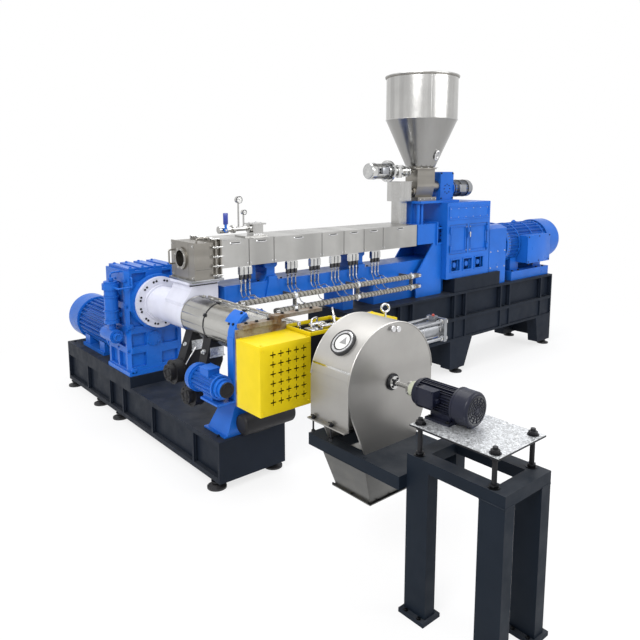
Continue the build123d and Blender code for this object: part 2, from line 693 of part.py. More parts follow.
def barrel_blowers():
    fans = []
    deck = LOWER_AXIS_Z - LOWER_COVER_R
    for y, z in FANS:
        casing = rod_x(FAN_X, y, z, FAN_R) + rod_x((FAN_X[0] - 46, FAN_X[0]), y, z, FAN_R * 0.72)
        low = z - FAN_R / 2
        duct = plate_xz([(FAN_X[1], low), (FAN_X[1] + 70, low), (-20, deck - 130), (-20, deck + 80),
                         (-120, deck + 80), (FAN_X[1], z + FAN_R - 30)], span(y, FAN_OUTLET_W))
        duct -= rod_y(0, (y - 60, y + 60), LOWER_AXIS_Z, LOWER_COVER_R + SEAT_GAP)
        fans.append(casing + duct)
    return fans


def blower_motor():
    x = SMALL_MOTOR_X
    y = SMALL_MOTOR_Y
    z = SMALL_MOTOR_Z
    body_y = (y[0] + 66, y[1] - SMALL_COWL_L)
    frame = along_y(finned_section(SMALL_BODY_R - 16, SMALL_BODY_R, SMALL_FINS, 5), x, body_y, z)
    cowl = rod_y(x, (body_y[1], y[1]), z, SMALL_COWL_R)
    cowl = fillet(cowl.edges().group_by(Axis.Y)[-1], 22)
    nose = rod_y(x, (y[0] + 30, body_y[0]), z, SMALL_BODY_R - 14)
    ring = rod_y(x, (y[0], y[0] + 30), z, SMALL_BODY_R - 28)
    box = block(span(x - 10, 96), (body_y[0] + 90, body_y[0] + 210), (z, z + SMALL_BODY_R + 34))
    foot = block((SHELF_X[0] + 20, x + 60), (YOKE_Y[1] + 20, STAND_TOP_BACK - 10), (SHELF_TOP, z))
    return frame + cowl + nose + ring + box + foot


# Lower line: screen changer, die and cutter

def screen_changer():
    body = block(span(0, CHANGER_W), CHANGER_Y, (2 * LOWER_AXIS_Z - GUARD_Z[1], GUARD_Z[1]))
    room_y = (CHANGER_Y[0] + 30, CHANGER_Y[1] - 30)
    room = block(span(0, CHANGER_W - 60), room_y, (GUARD_Z[1] - 26, GUARD_Z[1] + 1))
    slide = block((-GUARD_OUT + 60, GUARD_OUT - 60), span(sum(CHANGER_Y) / 2, 90), span(LOWER_AXIS_Z, 190))
    die = rod_y(0, (HOOD_BACK, CHANGER_Y[0]), LOWER_AXIS_Z, DIE_R)
    ring = rod_y(0, (CHANGER_Y[0] - 50, CHANGER_Y[0]), LOWER_AXIS_Z, DIE_R + 40)
    return body - room + slide + die + ring


def plus_holes(x, y, side):
    """Grid of plus-shaped vents through a guard's front sheet."""
    section = Sketch() + Rectangle(PLUS_SIZE, PLUS_BAR) + Rectangle(PLUS_BAR, PLUS_SIZE)
    holes = []
    for i in range(PLUS_COLUMNS):
        for j in range(PLUS_ROWS):
            place = Pos(side * (PLUS_LOW[0] + i * PLUS_PITCH), PLUS_LOW[1] + j * PLUS_PITCH - LOWER_AXIS_Z)
            holes.append(place * section)
    return along_y(Sketch() + holes, 0, y, LOWER_AXIS_Z)


def slide_guard(side):
    """Yellow box over one end of the slide, open towards the screen changer."""
    low = CHANGER_W / 2
    t = GUARD_SKIN
    x = sorted((side * low, side * GUARD_OUT))
    inner = sorted((side * (low - 1), side * (GUARD_OUT - t)))
    shell = block(x, GUARD_Y, GUARD_Z)
    shell -= block(inner, (GUARD_Y[0] + t, GUARD_Y[1] - t), (GUARD_Z[0] + t, GUARD_Z[1] - t))
    return shell - plus_holes(x, (GUARD_Y[0] - 1, GUARD_Y[0] + t + 1), side)


def left_guard():
    tray = block(span(0, CHANGER_W), CHANGER_Y, (GUARD_Z[1], GUARD_Z[1] + TRAY_H))
    room = block(span(0, CHANGER_W - 2 * TRAY_WALL), (CHANGER_Y[0] + TRAY_WALL, CHANGER_Y[1] - TRAY_WALL),
                 (GUARD_Z[1] - 1, GUARD_Z[1] + TRAY_H + 1))
    return [slide_guard(-1), tray - room]


def right_guard():
    return slide_guard(1)


def clamp_plates():
    y = (GUARD_Y[1], GUARD_Y[1] + CLAMP_PLATE_T)
    low = CHANGER_W / 2
    sheet = block((-GUARD_OUT, -low), y, (GUARD_Z[0], CLAMP_PLATE_TOP))
    bars = block(CLAMP_BAR_A, CLAMP_BAR_Y, (CLAMP_PLATE_TOP, CLAMP_PLATE_TOP + CLAMP_BAR_T))
    upper = CLAMP_PLATE_TOP + CLAMP_BAR_T
    bars += block(CLAMP_BAR_B, CLAMP_BAR_Y, (upper, upper + CLAMP_BAR_T - 4))
    mirror_sheet = block((low, GUARD_OUT), y, (GUARD_Z[0], GUARD_Z[1]))
    return [sheet + bars, mirror_sheet]


def hydraulic_cylinder():
    y = sum(CHANGER_Y) / 2
    z = LOWER_AXIS_Z
    near = (GUARD_OUT, GUARD_OUT + CYLINDER_PLATE_T)
    far = (CYLINDER_END - CYLINDER_PLATE_T, CYLINDER_END)
    body = block(near, span(y, CYLINDER_PLATE), span(z, CYLINDER_PLATE))
    body += block(far, span(y, CYLINDER_PLATE), span(z, CYLINDER_PLATE))
    body += rod_x((near[0], far[1]), y, z, CYLINDER_R)
    body += block((far[0] - 50, far[0]), span(y, 50), (z, z + CYLINDER_PLATE / 2 + 16))
    reach = CYLINDER_PLATE / 2 - 24
    for sy in (-1, 1):
        for sz in (-1, 1):
            body += rod_x((near[0], far[1] + 24), y + sy * reach, z + sz * reach, TIE_ROD_R)
    return body


def hood_outline():
    """Round top with two flat flanks that leave it as tangents and end at the foot on the table."""
    half = HOOD_FOOT_W / 2
    drop = LOWER_AXIS_Z - TABLE_TOP
    turn = atan2(drop, half) - acos(HOOD_R / hypot(half, drop))
    sx = HOOD_R * cos(turn)
    sz = -HOOD_R * sin(turn)
    top = ThreePointArc((sx, sz), (0, HOOD_R), (-sx, sz))
    sides = Polyline((-sx, sz), (-half, -drop), (half, -drop), (sx, sz))
    return make_face(Wire([top.edge()] + list(sides.edges())))


def arch(radius, drop):
    """Half round with straight walls below it."""
    dome = Circle(radius) & (Pos(0, radius / 2) * Rectangle(2 * radius, radius))
    return dome + Pos(0, -drop / 2) * Rectangle(2 * radius, drop)


def cutter_hood():
    y = (HOOD_FRONT, HOOD_BACK)
    drop = LOWER_AXIS_Z - HOOD_WALL_Z
    plates = along_y(hood_outline(), 0, (y[0], y[0] + HOOD_PLATE_T), LOWER_AXIS_Z)
    plates += along_y(hood_outline(), 0, (y[1] - HOOD_PLATE_T, y[1]), LOWER_AXIS_Z)
    skin = arch(HOOD_R, drop) - arch(HOOD_R - HOOD_SKIN, drop + 1)
    body = plates + along_y(skin, 0, y, LOWER_AXIS_Z)
    for s in (-1, 1):
        x = sorted((s * (HOOD_R - HOOD_SKIN), s * (HOOD_R + HOOD_LIP)))
        body += block(x, y, (HOOD_WALL_Z, HOOD_WALL_Z + HOOD_SKIN))
    edge = 2 * HOOD_R
    rise = edge * sin(radians(LID_START))
    run = edge * cos(radians(LID_START))
    wedge = make_face(Polyline((0, 0), (run, rise), (edge, -edge), (-edge, -edge), (-run, rise), close=True))
    lid = Circle(HOOD_R + LID_T) - Circle(HOOD_R - 1) - wedge
    body += along_y(lid, 0, y, LOWER_AXIS_Z)
    turn = Pos(0, SIGHT_Y, LOWER_AXIS_Z) * Rot(0, 90 - SIGHT_ANGLE, 0)
    base = HOOD_R - 24
    body += turn * Pos(0, 0, base + (24 + SIGHT_H) / 2) * Cylinder(SIGHT_R, 24 + SIGHT_H)
    body -= turn * Pos(0, 0, base) * Cylinder(SIGHT_GLASS_R, 2 * SIGHT_H + 60)
    body += turn * Pos(0, 0, HOOD_R) * Cylinder(SIGHT_GLASS_R + 1, 8)
    bore = rod_y(0, (y[0] - 1, y[0] + HOOD_PLATE_T + 1), LOWER_AXIS_Z, SHAFT_R + 10)
    return body - bore


def shaft_bearing():
    y = (HOOD_FRONT - 24, HOOD_FRONT)
    ring = rod_y(0, y, LOWER_AXIS_Z, BEARING_R)
    return ring - rod_y(0, (y[0] - 1, y[1] + 1), LOWER_AXIS_Z, SHAFT_R + 0.1)


def cutter_shaft():
    start = CUTTER_MOTOR_Y[1] + RUN_GAP
    head = (HOOD_BACK - 110, HOOD_BACK - 60)
    body = rod_y(0, (start, head[1]), LOWER_AXIS_Z, SHAFT_R)
    body += rod_y(0, (start, start + COUPLING_L * 0.42), LOWER_AXIS_Z, COUPLING_R)
    body += rod_y(0, (start, start + COUPLING_L), LOWER_AXIS_Z, COUPLING_R - 8)
    body += rod_y(0, (start + COUPLING_L * 0.58, start + COUPLING_L), LOWER_AXIS_Z, COUPLING_R)
    body += rod_y(0, head, LOWER_AXIS_Z, KNIFE_HUB_R)
    for i in range(3):
        body += Pos(0, sum(head) / 2, LOWER_AXIS_Z) * Rot(0, i * 60, 0) * Box(KNIFE_L, 8, 34)
    return body


def cutter_motor():
    y = CUTTER_MOTOR_Y
    z = LOWER_AXIS_Z
    body_y = (y[0] + CUTTER_COWL_L, y[1])
    section = finned_section(CUTTER_BODY_R - 14, CUTTER_BODY_R, SMALL_FINS, 4)
    body = along_y(section, 0, (body_y[0], y[1] - 26), z)
    body += rod_y(0, (y[1] - 26, y[1]), z, CUTTER_BODY_R - 6)
    cowl = rod_y(0, (y[0], body_y[0]), z, CUTTER_COWL_R)
    body += fillet(cowl.edges().group_by(Axis.Y)[0], 18)
    body += block((-CUTTER_BODY_R - 44, -CUTTER_BODY_R + 20), (y[0] + 190, y[0] + 300), span(z + 30, 84))
    body += block(span(0, 180), (body_y[0] + 10, PLATE_Y[1] - 2), (PLATE_TOP, PLATE_TOP + 12))
    return body + block(span(0, 120), (body_y[0] + 24, PLATE_Y[1] - 16), (PLATE_TOP, z - 50))


def stud_places():
    return [(s * (PLATE_W / 2 - 44), y) for s in (-1, 1) for y in (PLATE_Y[0] + 46, PLATE_Y[1] - 36)]


def motor_plate():
    plate = block(span(0, PLATE_W), PLATE_Y, (PLATE_TOP - PLATE_T, PLATE_TOP))
    for x, y in stud_places():
        plate -= rod_z(x, y, (PLATE_TOP - PLATE_T - 1, PLATE_TOP + 1), STUD_R + SEAT_GAP)
    return plate


def plate_studs():
    studs = []
    foot = FRONT_FRAME_BOTTOM + FRONT_FRAME_H
    nut = extrude(RegularPolygon(NUT_R, 6), amount=NUT_H)
    for x, y in stud_places():
        stud = rod_z(x, y, (foot, PLATE_TOP + 34), STUD_R)
        for z in (PLATE_TOP - PLATE_T - NUT_H, PLATE_TOP):
            stud += Pos(x, y, z) * nut
        studs.append(stud)
    return studs


def front_frame():
    x = span(0, FRONT_FRAME_W)
    y = (FRONT_FRAME_FRONT, TABLE_FRONT)
    z = (FRONT_FRAME_BOTTOM, FRONT_FRAME_BOTTOM + FRONT_FRAME_H)
    rail = FRONT_FRAME_RAIL
    room = block((x[0] + rail, x[1] - rail), (y[0] + rail, y[1] - rail), (z[0] - 1, z[1] + 1))
    return block(x, y, z) - room


def cutter_legs():
    edge = (FRONT_FRAME_W - LEG_W) / 2
    back = TABLE_FRONT - LEG_D / 2
    front = FRONT_FRAME_FRONT + LEG_D / 2
    low = TABLE_TOP - TABLE_T
    legs = [block(span(edge, LEG_W), (TABLE_FRONT - LEG_W, TABLE_FRONT), (low, FRONT_FRAME_BOTTOM))]
    for x, y in ((-edge, back), (-edge, front), (edge, front)):
        leg = block(span(x, LEG_W), span(y, LEG_D), (0, FRONT_FRAME_BOTTOM))
        pad = block(span(x, LEG_W + 2 * LEG_PAD_EDGE), span(y, LEG_D + LEG_PAD_EDGE), (0, LEG_PAD_T))
        legs.append(leg + pad)
    return legs


def cutter_table():
    low = TABLE_TOP - TABLE_T
    table = block(span(0, TABLE_W), (TABLE_FRONT, TABLE_BACK), (low, TABLE_TOP))
    hole_y = (HOOD_FRONT + 50, HOOD_BACK - 50)
    return table - block(span(0, HOOD_FOOT_W - 60), hole_y, (low - 1, TABLE_TOP + 1))


def pellet_chute():
    top = TABLE_TOP - TABLE_T
    t = CHUTE_SKIN
    mouth = CHUTE_OUTLET_Z
    low, high = CHUTE_Y_LOW, CHUTE_Y_TOP
    outer = plate_yz([(low[0], mouth), (low[1], mouth), (high[1], top), (high[0], top)], span(0, CHUTE_W))
    room = plate_yz([(low[0] + t, mouth - 1), (low[1] - t, mouth - 1), (high[1] - t, top + 1),
                     (high[0] + t, top + 1)], span(0, CHUTE_W - 2 * t))
    flange_y = (low[0] - CHUTE_LIP, low[1] + CHUTE_LIP)
    flange = block(span(0, CHUTE_W + 2 * CHUTE_LIP), flange_y, (mouth, mouth + 6))
    return outer + flange - room


# Upper line: base, beam and barrel

def upper_base():
    x = (UPPER_BASE_LEFT, UPPER_BASE_RIGHT)
    y = span(0, UPPER_BASE_W)
    body = block(x, y, (UPPER_BEAM_BOTTOM, UPPER_BASE_TOP))
    web = (UPPER_BEAM_BOTTOM + UPPER_FLANGE_T, UPPER_BASE_TOP - UPPER_FLANGE_T)
    for bay in bays(UPPER_RIBS, x):
        body -= block(bay, (y[0] - 1, y[0] + UPPER_WEB_RECESS), web)
        body -= block(bay, (y[1] - UPPER_WEB_RECESS, y[1] + 1), web)
    return body


def leg_lines():
    """Spans across Y of the two legs of each support, also used by the rails."""
    return [span(s * (UPPER_BASE_W - UPPER_RAIL_W) / 2, UPPER_RAIL_W) for s in (-1, 1)]


def upper_rails():
    rails = []
    web = (UPPER_RAIL_BOTTOM + UPPER_FLANGE_T, UPPER_BEAM_BOTTOM - UPPER_FLANGE_T / 2)
    for s, y in zip((-1, 1), leg_lines()):
        rail = block((UPPER_BASE_LEFT, UPPER_BASE_RIGHT), y, (UPPER_RAIL_BOTTOM, UPPER_BEAM_BOTTOM))
        face = (y[0] - 1, y[0] + WEB_RECESS / 2) if s < 0 else (y[1] - WEB_RECESS / 2, y[1] + 1)
        for bay in bays(UPPER_RIBS, (UPPER_BASE_LEFT, UPPER_BASE_RIGHT)):
            rail -= block(bay, face, web)
        rails.append(rail)
    return rails


def upper_legs():
    legs = []
    for top, sole, panel in zip(LEG_TOPS, LEG_SOLES, LEG_PANELS_X):
        side = [(sole[0], FOOT_H), (sole[1], FOOT_H), (top[1], UPPER_RAIL_BOTTOM),
                (top[0], UPPER_RAIL_BOTTOM)]
        frame = block((panel, panel + LEG_PANEL_T), span(0, UPPER_BASE_W - UPPER_RAIL_W),
                      (FOOT_H + LEG_PANEL_RISE, UPPER_RAIL_BOTTOM))
        for y in leg_lines():
            frame += plate_xz(side, y)
        legs.append(frame)
    return legs


def upper_feet():
    edge = (UPPER_BASE_W - UPPER_RAIL_W) / 2
    return levelling_feet([(x, s * edge) for x in UPPER_FEET_X for s in (-1, 1)])


def upper_plinth():
    y = span(0, UPPER_BASE_W - 2 * UPPER_PLINTH_EDGE)
    return block(UPPER_PLINTH_X, y, (UPPER_BASE_TOP, UPPER_PLINTH_TOP))


def barrel_beam():
    y = span(0, BEAM_W)
    beam = block((BEAM_LEFT, CABINET_X[0]), y, BEAM_Z)
    for x in (BEAM_LEFT, CABINET_X[0] - 20):
        beam += block((x, x + 20), span(0, BEAM_W + 24), (BEAM_Z[0] - 10, BEAM_Z[1]))
    saddle = block((BEAM_SADDLE_LEFT, CABINET_X[0]), y, (UPPER_BASE_TOP, BEAM_Z[0]))
    toe = block((CABINET_X[0], UPPER_PLINTH_X[0]), y, (UPPER_BASE_TOP, UPPER_PLINTH_TOP))
    foot = (UPPER_BASE_LEFT + BEAM_END_FOOT[0], UPPER_BASE_LEFT + BEAM_END_FOOT[1])
    return beam + saddle + toe + block(foot, y, (UPPER_BASE_TOP, BEAM_Z[0]))


def barrel_pedestals():
    top = COVERS_BOTTOM
    beam_y = BEAM_W / 2
    posts = []
    for x in PEDESTAL_X:
        half = (PEDESTAL_HEAD_W / 2, PEDESTAL_POST_W / 2, PEDESTAL_FOOT_W / 2)
        neck = top - PEDESTAL_HEAD_H
        low = BEAM_Z[1]
        right_edge = [(x + half[2], low), (x + half[1], low + 60), (x + half[1], neck - 20),
                      (x + half[0], neck), (x + half[0], top)]
        left_edge = [(2 * x - px, pz) for px, pz in reversed(right_edge)]
        tee = plate_xz(right_edge + left_edge, (-beam_y + 20, beam_y - 20))
        for s in (-1, 1):
            y = sorted((s * beam_y, s * (beam_y + CHEEK_T)))
            tee += plate_xz([(x - half[2], CHEEK_Z), (x + half[2], CHEEK_Z), (x + half[1], low),
                             (x + half[1], low + 40), (x - half[1], low + 40), (x - half[1], low)], y)
            inner = sorted((s * (beam_y - 30), s * (beam_y + 1)))
            tee += block(span(x, PEDESTAL_POST_W), inner, (low, low + 40))
        posts.append(tee)
    posts.append(block(PROP_X, (-60, 60), (BEAM_Z[1], top)))
    return posts


def upper_barrel_covers():
    stops = (UPPER_COVER_X[0],) + UPPER_JOINTS + (UPPER_COVER_X[1],)
    covers = []
    for low, high in zip(stops, stops[1:]):
        x = (low + (COVER_SEAM / 2 if low != stops[0] else 0),
             high - (COVER_SEAM / 2 if high != stops[-1] else 0))
        cover = block(x, span(0, UPPER_COVER_W), span(UPPER_AXIS_Z, UPPER_COVER_H))
        bore = block((x[0] - 1, x[1] + 1), span(0, UPPER_BARREL_W), span(UPPER_AXIS_Z, UPPER_BARREL_H))
        covers.append(cover - bore)
    return covers


def upper_barrel():
    y = span(0, UPPER_BARREL_W - SEAT_GAP)
    return block(UPPER_COVER_X, y, span(UPPER_AXIS_Z, UPPER_BARREL_H - SEAT_GAP))


def cooling_valves():
    """Solenoid valves that hang under the covers, with the pipes that drop from them."""
    top = COVERS_BOTTOM
    face = -BEAM_W / 2 - 3
    groups = []
    for x in VALVE_GROUPS_X:
        group = block(span(x, 2 * VALVE_PITCH + VALVE_BLOCK), (face - 30, face - 8), (top - 16, top))
        for i in (-1, 0, 1):
            place = x + i * VALVE_PITCH
            low = top - 16 - VALVE_BLOCK_H
            group += block(span(place, VALVE_BLOCK), (face - 38, face), (low, top - 16))
            group += block(span(place, VALVE_BLOCK * 0.7), span(face - 19, 24), (low - 44, low))
            group += rod_z(place, face - 19, (VALVE_PIPE_Z, low - 44), VALVE_PIPE_R)
        groups.append(group)
    return groups


def manifold_pipes():
    pipes = []
    for span_x, z in zip(MANIFOLD_X, MANIFOLD_Z):
        pipes.append(rod_x(span_x, MANIFOLD_Y, z, MANIFOLD_R))
    both = pipes[0] + pipes[1]
    arm_z = span(MANIFOLD_Z[1], 30)
    for x in HANGERS_X:
        both += block(span(x, HANGER_T), span(MANIFOLD_Y, 40), MANIFOLD_Z)
        both += block(span(x, HANGER_T), (MANIFOLD_Y, -BEAM_W / 2), arm_z)
    return both


def discharge_box():
    left = DISCHARGE_X[0]
    box = block(DISCHARGE_X, span(0, DISCHARGE_W), DISCHARGE_Z)
    box += block((left, left + 10), span(0, DISCHARGE_W + 12), (DISCHARGE_Z[0], DISCHARGE_Z[1] + 6))
    port = rod_x((left - 14, left), PORT_Y, PORT_Z, PORT_R + 26)
    hole = rod_x((left - 15, left + PORT_DEEP), PORT_Y, PORT_Z, PORT_R)
    body = box + port - hole
    y = DISCHARGE_W / 2 - 26
    out = left - BAIL_OUT
    low, high = span(PORT_Z, 120)
    body += bent_tube([(left + 5, y, low), (out, y, low), (out, y, high), (left + 5, y, high)], BAIL_R, 14)
    top = DISCHARGE_Z[1]
    near, far = left + 40, DISCHARGE_X[1] - 30
    body += bent_tube([(near, -y, top - 5), (near, -y, top + BAIL_OUT), (far, -y, top + BAIL_OUT),
                       (far, -y, top - 5)], BAIL_R, 14)
    return body


def end_flange():
    x = (DISCHARGE_X[1], UPPER_COVER_X[0])
    half = DISCHARGE_W / 2 + END_PLATE_EDGE
    low = DISCHARGE_Z[0] + 14
    high = DISCHARGE_Z[1] + END_PLATE_EDGE
    left = block((x[0], x[0] + 14), (-half, half), (low, high))
    right = block((x[1] - 14, x[1]), (-half, half), (low, high))
    core = block(x, (-half + 26, half - 26), (low + 22, high - 22))
    return left + core + right


def vent_stack():
    top = COVERS_TOP
    y = VENT_Y
    base = block(VENT_PLATE_X, span(y, VENT_PLATE_W), (top, top + VENT_PLATE_T))
    box = block(VENT_X, span(y, VENT_W), (top + VENT_PLATE_T, VENT_Z))
    edge = VENT_LID_EDGE
    lid_x = (VENT_X[0] - edge, VENT_X[1] + edge)
    lid = block(lid_x, span(y, VENT_W + 2 * edge), (VENT_Z, VENT_Z + VENT_PLATE_T))
    z = VENT_Z - VENT_PIPE_DROP
    body = base + box + lid
    body += rod_x((VALVE_X - 30, VENT_X[0]), y, z, VENT_PIPE_R)
    body += rod_x((VALVE_X - 46, VALVE_X + 46), y, z, VALVE_R)
    body += rod_x((VENT_X[0] - 26, VENT_X[0]), y, z, VALVE_R + 10)
    body += rod_x((VALVE_X + 90, VALVE_X + 118), y, z, VALVE_R + 4)
    body += rod_y(VALVE_X, (y - 60, y), z, VALVE_STEM_R)
    gauges = ((GAUGE_X, GAUGE_RISE, GAUGE_R), (SMALL_GAUGE_X, SMALL_GAUGE_RISE, SMALL_GAUGE_R))
    for x, rise, radius in gauges:
        body += rod_z(x, y, (z, z + rise), 8)
        body += rod_y(x, (y - 22, y + 12), z + rise + radius - 4, radius)
    return body


def valve_lever():
    z = VENT_Z - VENT_PIPE_DROP
    y = (VENT_Y - 60 + LEVER_T, VENT_Y - 60 + 2 * LEVER_T)
    hub = rod_y(VALVE_X, y, z, LEVER_W * 0.9)
    arm = block(span(VALVE_X, LEVER_W), y, (z, z + LEVER_L))
    return hub + arm - rod_y(VALVE_X, (y[0] - 1, y[1] + 1), z, VALVE_STEM_R + 0.1)


# Upper line: gearbox, guard and main motor

def gear_core():
    x = (CABINET_X[0] + GEAR_CORE_EDGE, CABINET_X[1] - GEAR_CORE_EDGE)
    return block(x, span(20, GEAR_CORE_W), (UPPER_PLINTH_TOP, CABINET_TOP - 60))


def window_spans():
    first = CABINET_X[0] + WINDOW_FIRST
    return [(first + i * WINDOW_PITCH, first + i * WINDOW_PITCH + WINDOW_W) for i in range(3)]


def door_leaf_spans():
    """Leaves inside their openings, with the wider gap at the free edge."""
    left, right = DOOR_OPENINGS
    return (left[0] + RUN_GAP, left[1] - DOOR_FREE_GAP), (right[0] + DOOR_FREE_GAP, right[1] - RUN_GAP)


def hinge_points():
    """Pin centres of the left and right door, in front of the cabinet's face."""
    y = CABINET_FRONT - HINGE_OUT
    return (DOOR_OPENINGS[0][0] - HINGE_IN, y), (DOOR_OPENINGS[1][1] + HINGE_IN, y)


def hinge_spans():
    """Heights of the two knuckles of each door."""
    return [span(end, KNUCKLE_H) for end in (DOOR_Z[0] + HINGE_FROM_EDGE, DOOR_Z[1] - HINGE_FROM_EDGE)]


def picture_frame(x, z):
    """Raised border on the cabinet's front around a span."""
    y = (CABINET_FRONT - FRAME_PROUD, CABINET_FRONT)
    outer = block((x[0] - FRAME_W, x[1] + FRAME_W), y, (z[0] - FRAME_W, z[1] + FRAME_W))
    return outer - block(x, (y[0] - 1, y[1] + 1), z)


def cabinet():
    s = CABINET_SKIN
    x = CABINET_X
    y = CABINET_Y
    z = (UPPER_PLINTH_TOP, CABINET_TOP)
    shell = block(x, y, z) - block((x[0] + s, x[1] - s), (y[0] + s, y[1] - s), (z[0] - 1, z[1] - s))
    panel = (UPPER_PLINTH_TOP + PANEL_RISE[0], UPPER_PLINTH_TOP + PANEL_RISE[1])
    shell += picture_frame((x[0] + 40, x[1] - 45), panel)
    face = (CABINET_FRONT - 1, CABINET_FRONT + s + 1)
    for opening in DOOR_OPENINGS:
        shell -= block(opening, face, DOOR_Z)
    for window in window_spans():
        shell += picture_frame(window, WINDOW_Z)
        shell -= block(window, (face[0] - FRAME_PROUD, face[1]), WINDOW_Z)
    for px, py in hinge_points():
        for knuckle in hinge_spans():
            low = knuckle[0] - RUN_GAP - 8
            high = knuckle[1] + RUN_GAP
            shell += rod_z(px, py, (low, high + 8), HINGE_R)
            for ear in (low, high):
                shell += block(span(px, 10), (py - 6, CABINET_FRONT), (ear, ear + 8))
    lock = (UPPER_PLINTH_TOP + LOCK_RISE[0], UPPER_PLINTH_TOP + LOCK_RISE[1])
    return shell + block(LOCK_X, (CABINET_FRONT - 12, CABINET_FRONT), lock)


def cabinet_door(index):
    x = door_leaf_spans()[index]
    px, py = hinge_points()[index]
    y = (CABINET_FRONT + RUN_GAP, CABINET_FRONT + RUN_GAP + DOOR_T)
    leaf = block(x, y, DOOR_Z)
    tray = block((x[0] + 26, x[1] - 26), (y[0] - 1, y[0] + 6), (DOOR_Z[0] + 26, DOOR_Z[1] - 26))
    leaf -= tray
    near = (x[0], x[0] + 12) if index == 0 else (x[1] - 12, x[1])
    for z in hinge_spans():
        leaf += rod_z(px, py, z, KNUCKLE_R)
        leaf += block((min(px, near[0]), max(px, near[1])), (py - 3, py + 3), z)
        leaf += block(near, (py - 3, y[0] + 2), z)
        leaf -= rod_z(px, py, (z[0] - 1, z[1] + 1), HINGE_R + SEAT_GAP)
    return leaf


def left_door():
    return cabinet_door(0)


def right_door():
    return cabinet_door(1)


def torque_box():
    x = (TORQUE_LEFT, CABINET_X[0])
    flange = TORQUE_FLANGE_X
    edge = TORQUE_FLANGE_EDGE
    half = TORQUE_W / 2
    body = block((x[0], flange[0]), (-half, half), TORQUE_Z)
    body += block(flange, (-half - edge, half + edge), (TORQUE_Z[0] - edge, TORQUE_Z[1] + edge))
    body += block((flange[1], x[1]), (-half + 50, half - 50), (TORQUE_Z[0] + 18, TORQUE_Z[1] - 15))
    for z in (TORQUE_Z[0] - edge, (TORQUE_Z[0] + TORQUE_Z[1]) / 2 + 48):
        body += block((flange[1], x[1]), (-half - 8, half + 8), (z, z + 16))
    low, high = GUSSET_SLOPE
    outline = [(low[0], UPPER_BASE_TOP), (x[1], UPPER_BASE_TOP), (x[1], TORQUE_Z[0]),
               (high[0], TORQUE_Z[0]), low]
    for s in (-1, 1):
        body += plate_xz(outline, sorted((s * half, s * (half - GUSSET_T))))
    return body


def coupling_guard():
    x = COUPLING_GUARD_X
    half = COUPLING_GUARD_W / 2
    top = UPPER_BASE_TOP + COUPLING_GUARD_H
    in_y, down = COUPLING_GUARD_CROWN
    body = plate_yz([(-half, UPPER_BASE_TOP), (half, UPPER_BASE_TOP), (half, top - down),
                     (half - in_y, top), (in_y - half, top), (-half, top - down)], x)
    step = ((x[0] - 1, UPPER_PLINTH_X[1]), (-half - 1, half + 1), (UPPER_BASE_TOP - 1, UPPER_PLINTH_TOP))
    return body - block(*step)


def main_motor():
    x = MAIN_MOTOR_X
    z = MAIN_MOTOR_Z
    body_end = x[1] - MAIN_COWL_L
    body = along_x(finned_section(MAIN_CORE_R, MAIN_BODY_R, LARGE_FINS, 7), (x[0] + 60, body_end), 0, z)
    body += rod_x((COUPLING_GUARD_X[1], x[0]), 0, z, MAIN_BELL_R)
    body += rod_x((x[0] - 36, x[0]), 0, z, MAIN_FLANGE_R)
    body += rod_x((x[0], x[0] + 60), 0, z, MAIN_BODY_R + 8)
    cowl = rod_x((body_end, x[1]), 0, z, MAIN_COWL_R)
    body += fillet(cowl.edges().group_by(Axis.X)[-1], 80)
    box = block(TERMINAL_X, (-TERMINAL_OUT, -MAIN_CORE_R + 40), TERMINAL_Z)
    return body + chamfer(box.edges().filter_by(Axis.X).group_by(Axis.Y)[0], 22)


def motor_seat():
    z = (UPPER_BASE_TOP, UPPER_BASE_TOP + SEAT_FRAME_H)
    seat = block(SEAT_FRAME_X, span(0, SEAT_FRAME_W), z)
    room_x = (SEAT_FRAME_X[0] + 60, SEAT_FRAME_X[1] - 60)
    seat -= block(room_x, span(0, SEAT_FRAME_W - 240), (z[0] - 1, z[1] + 1))
    for x in SEAT_FEET_X:
        seat += block(x, span(0, SEAT_FEET_W), (UPPER_BASE_TOP, MAIN_MOTOR_Z - 150))
    return seat - rod_x((SEAT_FRAME_X[0] - 1, SEAT_FRAME_X[1] + 1), 0, MAIN_MOTOR_Z, MAIN_BODY_R + SEAT_GAP)


# Feeder and hopper

def hopper():
    s = HOPPER_SKIN
    outline = Polyline((HOPPER_NECK_R, HOPPER_NECK_Z), (HOPPER_R, HOPPER_SEAM_Z), (HOPPER_R, HOPPER_RIM_Z),
                       (HOPPER_R - s, HOPPER_RIM_Z), (HOPPER_R - s, HOPPER_SEAM_Z + s / 2),
                       (HOPPER_NECK_R - s, HOPPER_NECK_Z), close=True)
    wall = revolve(Plane.XZ * make_face(outline), Axis.Z)
    rim = Pos(0, 0, HOPPER_RIM_Z) * Torus(HOPPER_R + 6, HOPPER_BEAD_R)
    return Pos(FEEDER_X, 0, 0) * (wall + rim)


